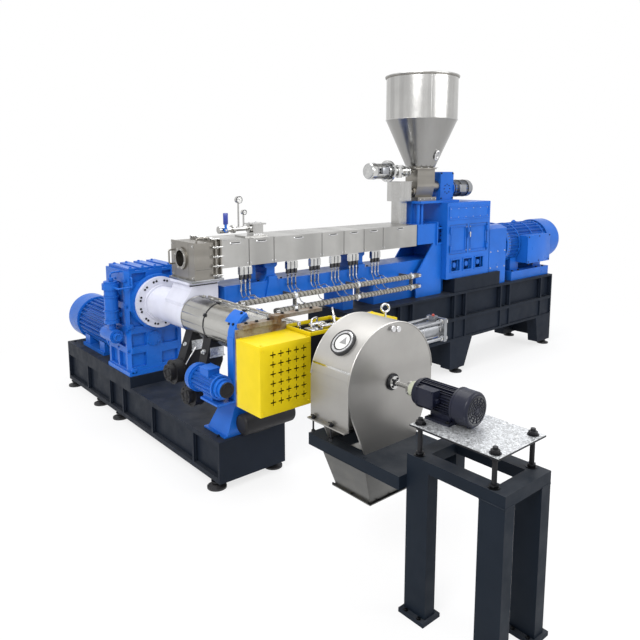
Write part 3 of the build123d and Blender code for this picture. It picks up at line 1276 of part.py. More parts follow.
def feeder_body():
    x = span(FEEDER_X, FEEDER_W)
    top = HOPPER_NECK_Z - NECK_FLANGE_T
    foot_top = FEEDER_PLATE_Z + FEEDER_FOOT_H
    wide, narrow = FEEDER_TROUGH
    right_edge = [(narrow, foot_top), (wide, foot_top + 120), (wide, top)]
    body = plate_yz(right_edge + [(-py, pz) for py, pz in reversed(right_edge)], x)
    body += block(span(FEEDER_X, FEEDER_W + 20), span(0, FEEDER_FOOT_W), (FEEDER_PLATE_Z, foot_top))
    body += rod_z(FEEDER_X, 0, (top, HOPPER_NECK_Z), HOPPER_NECK_R + NECK_FLANGE_EDGE)
    spout_z = FEEDER_PLATE_Z + SPOUT_RISE
    body += rod_x((CHUTE_X + CHUTE_BOX_W / 2, x[0]), 0, spout_z, SPOUT_R)
    body += rod_x((x[0] - 22, x[0]), 0, spout_z, SPOUT_R + 18)
    body += rod_x((x[1], FEEDER_GEARBOX_X[0]), 0, spout_z + 60, FEEDER_COUPLING_R)
    return body


def feeder_drive():
    x = FEEDER_GEARBOX_X
    z = FEEDER_PLATE_Z + FEEDER_MOTOR_RISE
    end = x[1] + FEEDER_MOTOR_L
    box = block(x, span(0, FEEDER_GEARBOX_W), (FEEDER_PLATE_Z, FEEDER_PLATE_Z + FEEDER_GEARBOX_H))
    box = chamfer(box.edges().filter_by(Axis.Y).group_by(Axis.Z)[-1], 16)
    section = finned_section(FEEDER_MOTOR_R - 18, FEEDER_MOTOR_R - 4, SMALL_FINS, 5)
    motor = along_x(section, (x[1] + 40, end - 84), 0, z)
    motor += rod_x((x[1], x[1] + 40), 0, z, FEEDER_MOTOR_R)
    cowl = rod_x((end - 84, end), 0, z, FEEDER_MOTOR_R)
    motor += fillet(cowl.edges().group_by(Axis.X)[-1], 20)
    return box + motor


def agitator_drive():
    z = HOPPER_NECK_Z - AGITATOR_DROP
    disc = AGITATOR_DISC_X
    rings = AGITATOR_FLANGES_X
    body_x = (AGITATOR_LEFT + 70, disc[0] - 30)
    section = finned_section(AGITATOR_MOTOR_R - 18, AGITATOR_MOTOR_R - 4, SMALL_FINS, 5)
    body = along_x(section, body_x, 0, z)
    cowl = rod_x((AGITATOR_LEFT, body_x[0]), 0, z, AGITATOR_MOTOR_R)
    body += fillet(cowl.edges().group_by(Axis.X)[0], 20)
    body += rod_x((body_x[1], disc[0]), 0, z, AGITATOR_MOTOR_R - 20)
    body += rod_x(disc, 0, z, AGITATOR_DISC_R)
    body += rod_x((disc[1], rings[-1]), 0, z, AGITATOR_FLANGE_R * 0.64)
    for x in rings:
        body += rod_x((x, x + 16), 0, z, AGITATOR_FLANGE_R)
    middle_x = (rings[1] + rings[2]) / 2
    body += rod_z(middle_x, 0, (z - 72, z + 66), AGITATOR_FLANGE_R * 0.6)
    body += rod_z(middle_x, 0, (z + 52, z + 66), AGITATOR_FLANGE_R * 0.8)
    return body + rod_x((rings[-1], FEEDER_X - FEEDER_W / 2), 0, z, AGITATOR_SHAFT_R)


def feed_chute():
    box = block(span(CHUTE_X, CHUTE_BOX_W), span(0, CHUTE_BOX_D), CHUTE_BOX_Z)
    rim_z = (CHUTE_BOX_Z[1] - 8, CHUTE_BOX_Z[1])
    rim = block(span(CHUTE_X, CHUTE_BOX_W + 16), span(0, CHUTE_BOX_D + 16), rim_z)
    duct = block(span(CHUTE_X, CHUTE_DUCT_W), span(0, CHUTE_DUCT_W), (COVERS_TOP, CHUTE_BOX_Z[0]))
    return box + rim + duct


def feeder_plate():
    y = span(0, FEEDER_PLATE_W)
    plate = block(FEEDER_PLATE_X, y, (CABINET_TOP, FEEDER_PLATE_Z))
    column = block(FEEDER_COLUMN_X, FEEDER_COLUMN_Y, (TORQUE_Z[1], CABINET_TOP))
    tubes = [rod_z(x, FEEDER_TUBE_Y, (TORQUE_Z[1], CABINET_TOP), FEEDER_TUBE_R) for x in FEEDER_TUBES_X]
    return plate + column + tubes[0] + tubes[1]


PIECES = {
    "lower_base": lower_base,
    "lower_feet": lower_feet,
    "lower_plinth": lower_plinth,
    "lower_gearbox": lower_gearbox,
    "lower_motor": lower_motor,
    "lower_motor_foot": lower_motor_foot,
    "oil_set": oil_set,
    "feed_barrel": feed_barrel,
    "lower_screw_barrel": lower_screw_barrel,
    "lower_barrel_covers": lower_barrel_covers,
    "barrel_stand": barrel_stand,
    "barrel_yoke": barrel_yoke,
    "accumulator": accumulator,
    "barrel_blowers": barrel_blowers,
    "blower_motor": blower_motor,
    "screen_changer": screen_changer,
    "left_guard": left_guard,
    "right_guard": right_guard,
    "clamp_plates": clamp_plates,
    "hydraulic_cylinder": hydraulic_cylinder,
    "cutter_hood": cutter_hood,
    "shaft_bearing": shaft_bearing,
    "cutter_shaft": cutter_shaft,
    "cutter_motor": cutter_motor,
    "motor_plate": motor_plate,
    "plate_studs": plate_studs,
    "front_frame": front_frame,
    "cutter_legs": cutter_legs,
    "cutter_table": cutter_table,
    "pellet_chute": pellet_chute,
    "upper_base": upper_base,
    "upper_rails": upper_rails,
    "upper_legs": upper_legs,
    "upper_feet": upper_feet,
    "upper_plinth": upper_plinth,
    "barrel_beam": barrel_beam,
    "barrel_pedestals": barrel_pedestals,
    "upper_barrel": upper_barrel,
    "upper_barrel_covers": upper_barrel_covers,
    "cooling_valves": cooling_valves,
    "manifold_pipes": manifold_pipes,
    "discharge_box": discharge_box,
    "end_flange": end_flange,
    "vent_stack": vent_stack,
    "valve_lever": valve_lever,
    "torque_box": torque_box,
    "gear_core": gear_core,
    "cabinet": cabinet,
    "left_door": left_door,
    "right_door": right_door,
    "coupling_guard": coupling_guard,
    "main_motor": main_motor,
    "motor_seat": motor_seat,
    "hopper": hopper,
    "feeder_body": feeder_body,
    "feeder_drive": feeder_drive,
    "agitator_drive": agitator_drive,
    "feed_chute": feed_chute,
    "feeder_plate": feeder_plate,
}


def gather(shape):
    """One compound of the separate solids that share a node."""
    shapes = shape if isinstance(shape, list) else [shape]
    return Compound([solid for item in shapes for solid in item.solids()])


nodes = {name: gather(make()) for name, make in PIECES.items()}
plant = Compound([solid for node in nodes.values() for solid in node.solids()]).bounding_box()
middle = plant.center()
SHIFT = Location((-middle.X, -middle.Y, 0))
for name, node in nodes.items():
    export_step(node.moved(SHIFT), f"parts/{name}.step")
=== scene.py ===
import bpy
import bmesh
import json
from functools import cached_property
from itertools import product
from math import atan, cos, pi, radians, sin
from mathutils import Matrix, Vector


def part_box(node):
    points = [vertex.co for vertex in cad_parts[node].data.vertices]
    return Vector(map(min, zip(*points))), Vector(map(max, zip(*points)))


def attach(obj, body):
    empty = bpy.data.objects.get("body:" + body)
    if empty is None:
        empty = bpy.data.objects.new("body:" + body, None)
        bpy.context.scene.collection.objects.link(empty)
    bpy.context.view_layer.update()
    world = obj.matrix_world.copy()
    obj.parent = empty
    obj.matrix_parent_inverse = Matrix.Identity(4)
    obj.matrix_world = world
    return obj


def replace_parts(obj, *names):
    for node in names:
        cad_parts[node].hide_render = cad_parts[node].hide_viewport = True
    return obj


# Two-stage plastic extruder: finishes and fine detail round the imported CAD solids.
# Lengths are in metres, in the CAD model's frame: +X along the upper line, +Y along the lower line, +Z up.

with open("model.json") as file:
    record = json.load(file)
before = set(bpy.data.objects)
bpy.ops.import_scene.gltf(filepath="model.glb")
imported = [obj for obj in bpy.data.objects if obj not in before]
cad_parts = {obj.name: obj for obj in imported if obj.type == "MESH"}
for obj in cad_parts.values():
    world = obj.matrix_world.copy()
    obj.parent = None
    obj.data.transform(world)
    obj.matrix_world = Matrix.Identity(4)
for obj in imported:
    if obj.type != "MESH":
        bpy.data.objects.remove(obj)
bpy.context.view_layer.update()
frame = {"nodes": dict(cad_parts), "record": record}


def middle(node):
    low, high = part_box(node)
    return (low + high) / 2


X = Vector((1, 0, 0))
Y = Vector((0, 1, 0))
Z = Vector((0, 0, 1))
LOWER_X = middle("lower_base").x
UPPER_Y = middle("upper_base").y
LOWER_Z = 1.186
# ORIGIN is where the two lines cross on the floor, and LOWER lies on the lower screw's axis.
ORIGIN = Vector((LOWER_X, UPPER_Y, 0))
LOWER = Vector((LOWER_X, 0, LOWER_Z))


# Finishes

NONE = (0.0, 0.0, 0.0)
FULL = (1.0, 1.0, 1.0)


def shade(colour, factor):
    return tuple(min(1.0, c * factor) for c in colour)


class Finish:
    """Shader nodes of one material, or of the world, joined up to its shader."""

    def __init__(self, owner, shader="Principled BSDF"):
        owner.use_nodes = True
        self.owner = owner
        self.tree = owner.node_tree
        self.shader = self.tree.nodes[shader]
        self.bump = None

    def plug(self, socket, value):
        """Link a node's output to a socket, or set the socket's own constant."""
        if isinstance(value, bpy.types.NodeSocket):
            self.tree.links.new(value, socket)
        elif isinstance(value, tuple) and len(value) < len(socket.default_value):
            socket.default_value = (*value, 1)
        else:
            socket.default_value = value

    def node(self, kind, out, sockets, **settings):
        made = self.tree.nodes.new("ShaderNode" + kind)
        for key, value in settings.items():
            setattr(made, key, value)
        for key, value in sockets.items():
            self.plug(made.inputs[key], value)
        return made.outputs[out]

    def coords(self, scale=(1, 1, 1)):
        return self.node("Mapping", "Vector", {"Vector": self.node("TexCoord", "Object", {}), "Scale": scale})

    @cached_property
    def place(self):
        return self.coords()

    def height(self, vector):
        return self.node("SeparateXYZ", "Z", {"Vector": vector})

    def noise(self, scale, detail=4.0, rough=0.55, vector=None):
        sockets = {"Vector": vector or self.place, "Scale": scale, "Detail": detail, "Roughness": rough}
        return self.node("TexNoise", "Fac", sockets)

    def ramp(self, factor, *stops):
        made = self.tree.nodes.new("ShaderNodeValToRGB")
        elements = made.color_ramp.elements
        while len(elements) < len(stops):
            elements.new(0.5)
        for element, (place, colour) in zip(elements, stops):
            element.position = place
            element.color = (*colour, 1)
        self.plug(made.inputs["Fac"], factor)
        return made.outputs["Color"]

    def mask(self, factor, start, end):
        return self.ramp(factor, (start, NONE), (end, FULL))

    def cloudy(self, factor, colour, dark, pale, start=0.3):
        """A colour that wanders between a darker and a paler shade."""
        return self.ramp(factor, (start, shade(colour, dark)), (0.7, shade(colour, pale)))

    def remap(self, factor, low, high, start=0.3, end=0.7):
        return self.node("MapRange", "Result", {"Value": factor, "From Min": start, "From Max": end,
                                                "To Min": low, "To Max": high})

    def upward(self, start, end):
        """How much a surface faces the ceiling, from 0 to 1."""
        return self.remap(self.height(self.node("NewGeometry", "Normal", {})), 0.0, 1.0, start, end)

    def layer(self, factor, first, second):
        return self.node("Mix", 2, {0: factor, 6: first, 7: second}, data_type="RGBA")

    def math(self, operation, first, second):
        return self.node("Math", "Value", {0: first, 1: second}, operation=operation)

    def times(self, first, second):
        return self.math("MULTIPLY", first, second)

    def relief(self, height, strength, depth):
        """Bump on top of the bumps before it."""
        sockets = {"Height": height, "Strength": strength, "Distance": depth}
        if self.bump:
            sockets["Normal"] = self.bump
        self.bump = self.node("Bump", "Normal", sockets)
        self.plug(self.shader.inputs["Normal"], self.bump)

    def done(self, **sockets):
        """Join the shader's sockets and hand over the material."""
        for name, value in sockets.items():
            self.plug(self.shader.inputs[name.replace("_", " ")], value)
        return self.owner


def material(name):
    return Finish(bpy.data.materials.new(name))


def enamel(name, colour, rough=0.34, dusty=0.06, coat=0.2, peel=0.12, sheen=0.5):
    """Sprayed machine enamel: cloudy colour, orange peel, small chips and dust on what faces up."""
    f = material(name)
    body = f.cloudy(f.noise(2.6, 5.0), colour, 0.86, 1.1)
    chipped = f.layer(f.mask(f.noise(46.0, 6.0, 0.7), 0.735, 0.75), body, shade(colour, 0.45))
    film = f.times(f.times(f.upward(0.55, 0.95), f.remap(f.noise(7.0), 0.3, 1.0)), dusty)
    f.relief(f.noise(420.0, 2.0), peel, 0.0006)
    f.relief(f.noise(24.0, 3.0), 0.08, 0.004)
    return f.done(Base_Color=f.layer(film, chipped, (0.62, 0.63, 0.64)),
                  Roughness=f.remap(f.noise(9.0, 6.0), rough - 0.07, rough + 0.1),
                  Specular_IOR_Level=sheen, Coat_Weight=coat, Coat_Roughness=0.14)


def brushed(name, colour, grain, rough=0.26, smears=0.5, bands=(0.3, 0.3, 4.0), low=0.5, painted_shade_below=None,
            metal=1.0):
    """Sheet steel brushed along one axis, with soft bands of painted reflection, painted shade on what faces
    down, painted shade below given heights, and smears.
    """
    f = material(name)
    lines = f.noise(60.0, 3.0, 0.7, f.coords(grain))
    plain = f.cloudy(f.noise(3.2, 6.0), colour, 0.84, 1.08)
    # painted reflection: soft bands of a darker shade along the given axes stand for reflected surroundings
    bars = f.ramp(f.noise(2.4, 2.0, vector=f.coords(bands)), (0.36, (0.6, 0.6, 0.6)), (0.62, NONE))
    painted_reflection_banded = f.layer(bars, plain, shade(colour, 0.6))
    # painted shade: what faces down is darkened towards a third of the colour, the less the larger low is
    under = f.ramp(f.upward(-0.9, 0.35), (0.0, FULL), (1.0, NONE))
    body = f.layer(f.times(under, 1.0 - low), painted_reflection_banded, shade(colour, 0.3))
    # painted shade: the sheet is darkened below the two given heights
    if painted_shade_below:
        body = f.layer(f.remap(f.height(f.place), 0.75, 0.0, *painted_shade_below), body, shade(colour, 0.4))
    grained = f.layer(f.times(f.mask(lines, 0.32, 0.68), 0.22), body, shade(colour, 0.62))
    smear = f.times(f.mask(f.noise(11.0, 8.0, 0.7), 0.5, 0.66), 0.14 * smears)
    f.relief(lines, 0.18, 0.0002)
    f.relief(f.noise(5.0, 2.0), 0.16, 0.012)
    return f.done(Base_Color=f.layer(smear, grained, (0.33, 0.3, 0.26)), Metallic=metal,
                  Roughness=f.remap(lines, rough - 0.06, rough + 0.1))


def polished(name, colour, rough=0.13, wave=0.25):
    """Turned or polished steel with faint wear marks."""
    f = material(name)
    f.relief(f.noise(30.0, 3.0), wave, 0.0012)
    return f.done(Base_Color=f.cloudy(f.noise(12.0, 6.0), colour, 0.8, 1.06), Metallic=1.0,
                  Roughness=f.remap(f.noise(60.0, 6.0), rough - 0.05, rough + 0.12))


def rusted(name, steel, rust):
    """Bare steel plate with brown rust that spreads from patches."""
    f = material(name)
    patch = f.mask(f.noise(9.0, 9.0, 0.68), 0.4, 0.62)
    spots = f.cloudy(f.noise(70.0, 6.0), rust, 0.55, 1.25, 0.35)
    f.relief(f.noise(90.0, 7.0), 0.3, 0.0015)
    return f.done(Base_Color=f.layer(patch, steel, spots), Metallic=0.6,
                  Roughness=f.remap(f.noise(8.0, 8.0), 0.35, 0.75))


def galvanised(name, colour):
    """Hot-dip zinc with its crystal spangle."""
    f = material(name)
    ripple = f.node("TexNoise", "Color", {"Vector": f.place, "Scale": 20.0, "Detail": 3.0})
    warped = f.layer(0.06, f.place, ripple)
    cells = f.node("TexVoronoi", "Color", {"Vector": warped, "Scale": 150.0, "Randomness": 1.0})
    grey = f.node("RGBToBW", "Val", {"Color": cells})
    f.relief(f.noise(120.0, 5.0), 0.15, 0.0006)
    tone = f.ramp(grey, (0.2, shade(colour, 0.6)), (0.55, colour), (0.9, shade(colour, 1.3)))
    return f.done(Base_Color=tone, Metallic=0.75, Roughness=f.remap(grey, 0.28, 0.5))


def moulded(name, colour, rough=0.55):
    """Moulded rubber or plastic with a fine grain and pale scuffs."""
    f = material(name)
    scuff = f.times(f.mask(f.noise(18.0, 8.0, 0.7), 0.55, 0.75), 0.25)
    f.relief(f.noise(260.0, 3.0), 0.3, 0.0004)
    return f.done(Base_Color=f.layer(scuff, f.cloudy(f.noise(6.0), colour, 0.8, 1.25), (0.3, 0.3, 0.3)),
                  Roughness=f.remap(f.noise(14.0, 5.0), rough - 0.08, rough + 0.12))


def wound(name, colour, lay):
    """Pipe wrapped in a spiral of pale braid: slanting ridges with dark gaps."""
    f = material(name)
    wave = f.node("TexWave", "Fac", {"Vector": f.place, "Scale": lay, "Distortion": 0.8, "Detail": 2.0},
                  wave_type="BANDS", bands_direction="DIAGONAL")
    f.relief(wave, 0.7, 0.004)
    tone = f.ramp(wave, (0.15, shade(colour, 0.25)), (0.5, colour), (0.85, shade(colour, 1.5)))
    return f.done(Base_Color=tone, Metallic=0.6, Roughness=f.remap(f.noise(40.0), 0.35, 0.6))


def glazed(name, colour, rough=0.06):
    """Dark glass over a dim inside, with a film of dust."""
    f = material(name)
    f.relief(f.noise(12.0), 0.05, 0.001)
    return f.done(Base_Color=f.cloudy(f.noise(5.0, 4.0), colour, 0.6, 1.3), Coat_Weight=0.6,
                  Roughness=f.remap(f.noise(30.0, 6.0), rough, rough + 0.12))


BLUE = enamel("machine_blue", (0.009, 0.112, 0.480), dusty=0.02, coat=0.06, sheen=0.2)
BASE_BLACK = enamel("base_black", (0.0085, 0.0125, 0.021), rough=0.5, dusty=0.04, coat=0.0, sheen=0.1)
SLATE = enamel("trolley_slate", (0.007, 0.0115, 0.019), rough=0.48, dusty=0.05, coat=0.0, sheen=0.1)
NAVY = enamel("motor_navy", (0.0055, 0.0070, 0.018), rough=0.4, dusty=0.02, coat=0.1, sheen=0.25)
WHITE = enamel("barrel_white", (0.585, 0.595, 0.68), rough=0.38, dusty=0.03)
YELLOW = enamel("guard_yellow", (0.66, 0.50, 0.006), rough=0.42, dusty=0.0, coat=0.0, peel=0.08, sheen=0.2)
IRON = enamel("black_iron", (0.009, 0.009, 0.011), rough=0.5, dusty=0.05, coat=0.0, sheen=0.25)
BEIGE = enamel("coupling_beige", (0.42, 0.44, 0.33), rough=0.5, coat=0.0)
RED = enamel("plug_red", (0.34, 0.03, 0.014), rough=0.4)
HANDLE_BLUE = enamel("handle_blue", (0.010, 0.030, 0.26), rough=0.3)
DIAL = enamel("dial_white", (0.72, 0.72, 0.70), rough=0.3, dusty=0.0, peel=0.02)
# Every brushed sheet below has bands of painted reflection and painted shade on what faces down.
SHEET_X = brushed("sheet_grain_x", (0.51, 0.505, 0.49), (1.0, 22.0, 22.0), rough=0.33, bands=(1.4, 0.2, 0.2))
SHEET_Y = brushed("sheet_grain_y", (0.52, 0.515, 0.49), (22.0, 1.0, 22.0), rough=0.2, bands=(4.0, 0.2, 7.0))
SHEET_Z = brushed("sheet_grain_z", (0.66, 0.655, 0.64), (18.0, 18.0, 0.8), rough=0.22,
                  bands=(3.0, 3.0, 0.2), low=0.04)
# The hopper's sheet also has painted shade below its round seam, which darkens its cone.
HOPPER_STEEL = brushed("hopper_sheet", (0.66, 0.655, 0.64), (18.0, 18.0, 0.8), rough=0.22,
                       bands=(6.0, 6.0, 0.15), low=0.04, painted_shade_below=(2.955, 2.967))
# The hood's sheet also has painted shade towards its bottom.
HOOD_STEEL = brushed("hood_sheet", (0.55, 0.537, 0.515), (16.0, 16.0, 1.0), rough=0.34, smears=0.45,
                     bands=(0.2, 0.2, 1.6), low=0.12, painted_shade_below=(0.95, 1.32), metal=0.8)
DULL_SHEET = brushed("box_sheet", (0.37, 0.352, 0.32), (1.0, 18.0, 18.0), rough=0.35, smears=1.0)
CHUTE_SHEET = brushed("chute_sheet", (0.20, 0.20, 0.195), (18.0, 18.0, 1.0), rough=0.33, smears=1.0)
BRIGHT = polished("bright_steel", (0.62, 0.62, 0.61))
CHROME = polished("chrome", (0.74, 0.74, 0.75), rough=0.08, wave=0.1)
GREY_MOTOR = polished("cast_aluminium", (0.33, 0.34, 0.36), rough=0.32)
OXIDE = polished("black_oxide", (0.035, 0.036, 0.04), rough=0.34)
BRAID = wound("pipe_braid", (0.17, 0.16, 0.135), 34.0)
HOSE_BRAID = wound("hose_braid", (0.42, 0.40, 0.36), 90.0)
RUSTY = rusted("rusty_plate", (0.28, 0.262, 0.23), (0.16, 0.09, 0.042))
ZINC = galvanised("zinc_spangle", (0.64, 0.655, 0.67))
RUBBER = moulded("pad_rubber", (0.012, 0.012, 0.014))
COIL = moulded("coil_plastic", (0.016, 0.016, 0.018), rough=0.4)
GLASS = glazed("sight_glass", (0.30, 0.30, 0.30))
# Dark: real black for gauge rims, needles and seams, and painted shade inside slots, ports and openings.
DARK = glazed("dark_opening", (0.008, 0.009, 0.011), rough=0.3)

PAINT = {
    "black_paint": BASE_BLACK, "slate_paint": SLATE, "blue_paint": BLUE, "navy_paint": NAVY,
    "white_paint": WHITE, "yellow_paint": YELLOW, "stainless": SHEET_Z, "grey_cover": SHEET_X,
    "bright_steel": BRIGHT, "rusty_steel": RUSTY, "zinc_plate": ZINC, "dark_iron": IRON,
    "foot_rubber": RUBBER,
}
OWN = {
    "cutter_hood": HOOD_STEEL, "hopper": HOPPER_STEEL, "lower_barrel_covers": SHEET_Y,
    "discharge_box": DULL_SHEET, "end_flange": DULL_SHEET, "feeder_body": DULL_SHEET,
    "pellet_chute": CHUTE_SHEET, "manifold_pipes": BRAID, "hydraulic_cylinder": GREY_MOTOR,
}

for part in frame["record"]["subparts"]:
    piece = bpy.data.objects.get(part["node"]) or frame["nodes"][part["node"]]
    piece.data.materials.clear()
    piece.data.materials.append(OWN.get(part["node"]) or PAINT[part["material_slot"]])


# Places

def at(x, y, z, start=ORIGIN):
    return start + Vector((x, y, z))


def grid(start, *steps):
    """Every place at the given steps from a start; each of x, y and z has one step or several."""
    several = [step if isinstance(step, (tuple, list)) else (step,) for step in steps]
    return [start + Vector(step) for step in product(*several)]


def ends(low, high, margin):
    return low + margin, high - margin


def towards(axis):
    return Vector(axis).to_track_quat("Z", "Y").to_matrix().to_4x4()


def about(point, angle, axis):
    """Turn by an angle round the line through a point along X, Y or Z."""
    return Matrix.Translation(point) @ Matrix.Rotation(angle, 4, axis) @ Matrix.Translation(-point)


def around_lower(angle):
    """Turn about the lower screw's axis; 0 points along +X and 90 up."""
    return about(LOWER, radians(-angle), "Y")


def outward(angle, distance, y):
    """Place at a distance from the lower screw's axis, and the way that it faces."""
    turn = around_lower(angle)
    return turn @ at(distance, y, 0, LOWER), turn.to_3x3() @ X


# Shapes for the fine detail; each adds to a bmesh and hands it back

def new_object(name, bm, mat):
    mesh = bpy.data.meshes.new(name)
    bm.to_mesh(mesh)
    bm.free()
    mesh.materials.append(mat)
    made = bpy.data.objects.new(name, mesh)
    bpy.context.collection.objects.link(made)
    return made


def add_piece(name, bm, mat, body="root"):
    bmesh.ops.recalc_face_normals(bm, faces=bm.faces)
    made = new_object(name, bm, mat)
    made.data.polygons.foreach_set("use_smooth", [True] * len(made.data.polygons))
    made.data.set_sharp_from_angle(angle=radians(38))
    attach(made, body)
    return made


def rounded(bm, edges, reach):
    bmesh.ops.bevel(bm, geom=edges, offset=reach, offset_type="OFFSET", segments=2, profile=0.5,
                    affect="EDGES", material=-1)


def slab(bm, low, high, soft=0.0, turn=None):
    """Block between two corners, turned by a matrix, with rounded edges."""
    low, high = Vector(low), Vector(high)
    made = bmesh.ops.create_cube(bm, size=1.0)["verts"]
    bmesh.ops.scale(bm, vec=high - low, verts=made)
    bmesh.ops.translate(bm, vec=(low + high) / 2, verts=made)
    if turn is not None:
        bmesh.ops.transform(bm, matrix=turn, verts=made)
    if soft:
        rounded(bm, list({edge for vert in made for edge in vert.link_edges}), soft)
    return bm


def slab_ring(bm, centre, axis, count, low, high):
    """Blocks repeated round a centre, which their corners are measured from."""
    for i in range(count):
        slab(bm, centre + Vector(low), centre + Vector(high), turn=about(centre, 2 * pi * i / count, axis))
    return bm


def drum(bm, start, end, radius, sides=20, tip=None, soft=0.0):
    """Closed cylinder or cone from start to end, with rounded rims."""
    start, end = Vector(start), Vector(end)
    place = Matrix.Translation((start + end) / 2) @ towards(end - start)
    made = bmesh.ops.create_cone(bm, cap_ends=True, segments=sides, radius1=radius,
                                 radius2=radius if tip is None else tip, depth=(end - start).length,
                                 matrix=place)["verts"]
    if soft:
        edges = {edge for vert in made for edge in vert.link_edges}
        rims = [edge for edge in edges if any(len(face.verts) == sides for face in edge.link_faces)]
        rounded(bm, rims, soft)
    return bm


def turned(bm, centre, axis, outline, steps=32):
    """Solid of revolution from (radius, height) points; an outline clear of the axis makes a ring."""
    before = set(bm.verts)
    verts = [bm.verts.new((radius, 0.0, height)) for radius, height in outline]
    edges = [bm.edges.new(pair) for pair in zip(verts, verts[1:])]
    if outline[0][0] > 0 and outline[-1][0] > 0:
        edges.append(bm.edges.new((verts[-1], verts[0])))
    bmesh.ops.spin(bm, geom=verts + edges, cent=(0, 0, 0), axis=(0, 0, 1), angle=2 * pi, steps=steps,
                   use_merge=True)
    bmesh.ops.remove_doubles(bm, verts=[v for v in bm.verts if v not in before], dist=1e-7)
    made = [v for v in bm.verts if v not in before]
    bmesh.ops.transform(bm, matrix=Matrix.Translation(centre) @ towards(axis), verts=made)
    return bm


def band(bm, centre, axis, inner, outer, width, steps=48):
    """Flat ring whose width runs along the axis, centred on centre."""
    half = width / 2
    return turned(bm, centre, axis, [(inner, -half), (outer, -half), (outer, half), (inner, half)], steps)


def hoop(bm, centre, axis, radius, thick, steps=40, sides=8):
    """Round wire bent to a full circle."""
    angles = [2 * pi * i / sides for i in range(sides)]
    return turned(bm, centre, axis, [(radius + thick * cos(a), thick * sin(a)) for a in angles], steps)


def bolt(bm, place, axis, size):
    """Hexagon head on its washer; size is the head's radius."""
    place, axis = Vector(place), Vector(axis).normalized()
    drum(bm, place - axis * 0.001, place + axis * size * 0.28, size * 1.35, 14)
    return drum(bm, place + axis * size * 0.2, place + axis * size * 1.1, size, 6, tip=size * 0.93)


def bolts(bm, places, axis, size):
    for place in places:
        bolt(bm, place, axis, size)
    return bm


def bolt_circle(bm, centre, axis, radius, count, size, start=0.0):
    """Bolts round a centre, their heads along the axis."""
    pattern = Matrix.Translation(centre) @ towards(axis)
    angles = [radians(start) + 2 * pi * i / count for i in range(count)]
    return bolts(bm, [pattern @ Vector((radius * cos(a), radius * sin(a), 0)) for a in angles], axis, size)


def flowing(points, steps):
    """Points of a smooth line through the given ones."""
    path = [points[0] * 2 - points[1]] + points + [points[-1] * 2 - points[-2]]
    line = []
    for a, b, c, d in zip(path, path[1:], path[2:], path[3:]):
        for k in range(steps):
            t = k / steps
            line.append((b * 2 + (c - a) * t + (a * 2 - b * 5 + c * 4 - d) * t * t
                         + (b * 3 - a - c * 3 + d) * t ** 3) / 2)
    return line + [points[-1]]


def tube(bm, points, radius, sides=8, steps=4):
    """Bent pipe through the points, closed at both ends."""
    line = flowing([Vector(p) for p in points], steps)
    heading = line[1] - line[0]
    turn = heading.to_track_quat("Z", "Y")
    rims = []
    for i, place in enumerate(line):
        ahead = line[min(i + 1, len(line) - 1)] - line[max(i - 1, 0)]
        turn = heading.rotation_difference(ahead) @ turn
        heading = ahead
        spot = Matrix.Translation(place) @ turn.to_matrix().to_4x4()
        ring = bmesh.ops.create_circle(bm, cap_ends=False, segments=sides, radius=radius, matrix=spot)
        rims.append(list({edge for vert in ring["verts"] for edge in vert.link_edges}))
    for one, other in zip(rims, rims[1:]):
        bmesh.ops.bridge_loops(bm, edges=one + other)
    bmesh.ops.edgeloop_fill(bm, edges=rims[0])
    bmesh.ops.edgeloop_fill(bm, edges=rims[-1])
    return bm


def bead(bm, start, end, radius, sides=6):
    """Straight weld bead."""
    return tube(bm, [start, end], radius, sides, 1)


def motor_grille(name, axis, centre, radius, mat):
    """Fan grille of rings and spokes that ends flush with its cowl."""
    centre = centre - axis * 0.0022
    bm = bmesh.new()
    for share in (0.25, 0.42, 0.59, 0.76):
        hoop(bm, centre, axis, radius * share, 0.0022, 32, 6)
    for i in range(6):
        turn = Matrix.Translation(centre) @ towards(axis) @ Matrix.Rotation(i * pi / 6, 4, "Z")
        slab(bm, (-radius * 0.78, -0.002, -0.0022), (radius * 0.78, 0.002, 0.0018), turn=turn)
    drum(bm, centre - axis * 0.003, centre + axis * 0.002, radius * 0.14, 20)
    add_piece(name, bm, mat)


def thin_fins(name, start, end, inner, outer, count, mat):
    """Fine cooling fins round a motor body, from start to end along its axis."""
    bm = bmesh.new()
    place = Matrix.Translation(start) @ towards(end - start)
    for i in range(count):
        turn = place @ Matrix.Rotation(2 * pi * (i + 0.5) / count, 4, "Z")
        slab(bm, (inner, -0.0014, 0.0), (outer, 0.0014, (end - start).length), turn=turn)
    add_piece(name, bm, mat)


# Lower line: drive, barrel and blowers

FLANGE_T = 0.042
COVER_R = 0.163
SEAMS = (0.25, 0.5, 0.75)
BLOWER_YS = (-0.209, -0.500)


def flange_bolts():
    """Pairs of dark bolts round the white feed flange."""
    face = LOWER + Y * (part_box("feed_barrel")[1].y - FLANGE_T)
    bm = bmesh.new()
    for start in (11, 19):
        bolt_circle(bm, face, -Y, 0.205, 12, 0.0078, start)
    add_piece("flange_bolts", bm, OXIDE)


def feed_block_detail():
    """Steel flange under the discharge box, and a thin dark sheet of painted shade for the slot of the white
    feed block.
    """
    steel = slab(bmesh.new(), at(-0.083, -0.206, 1.470), at(0.223, 0.206, 1.4885), 0.002)
    bolts(steel, grid(ORIGIN, (-0.070, 0.180), (-0.180, -0.060, 0.060, 0.180), 1.4885), Z, 0.0060)
    add_piece("feed_block_flange", steel, GREY_MOTOR)
    # painted shade: a thin dark slab stands for the shade inside the slot
    slot = slab(bmesh.new(), at(-0.059, -0.1130, 1.4302), at(0.209, -0.1110, 1.4418))
    add_piece("feed_block_slot", slot, DARK)


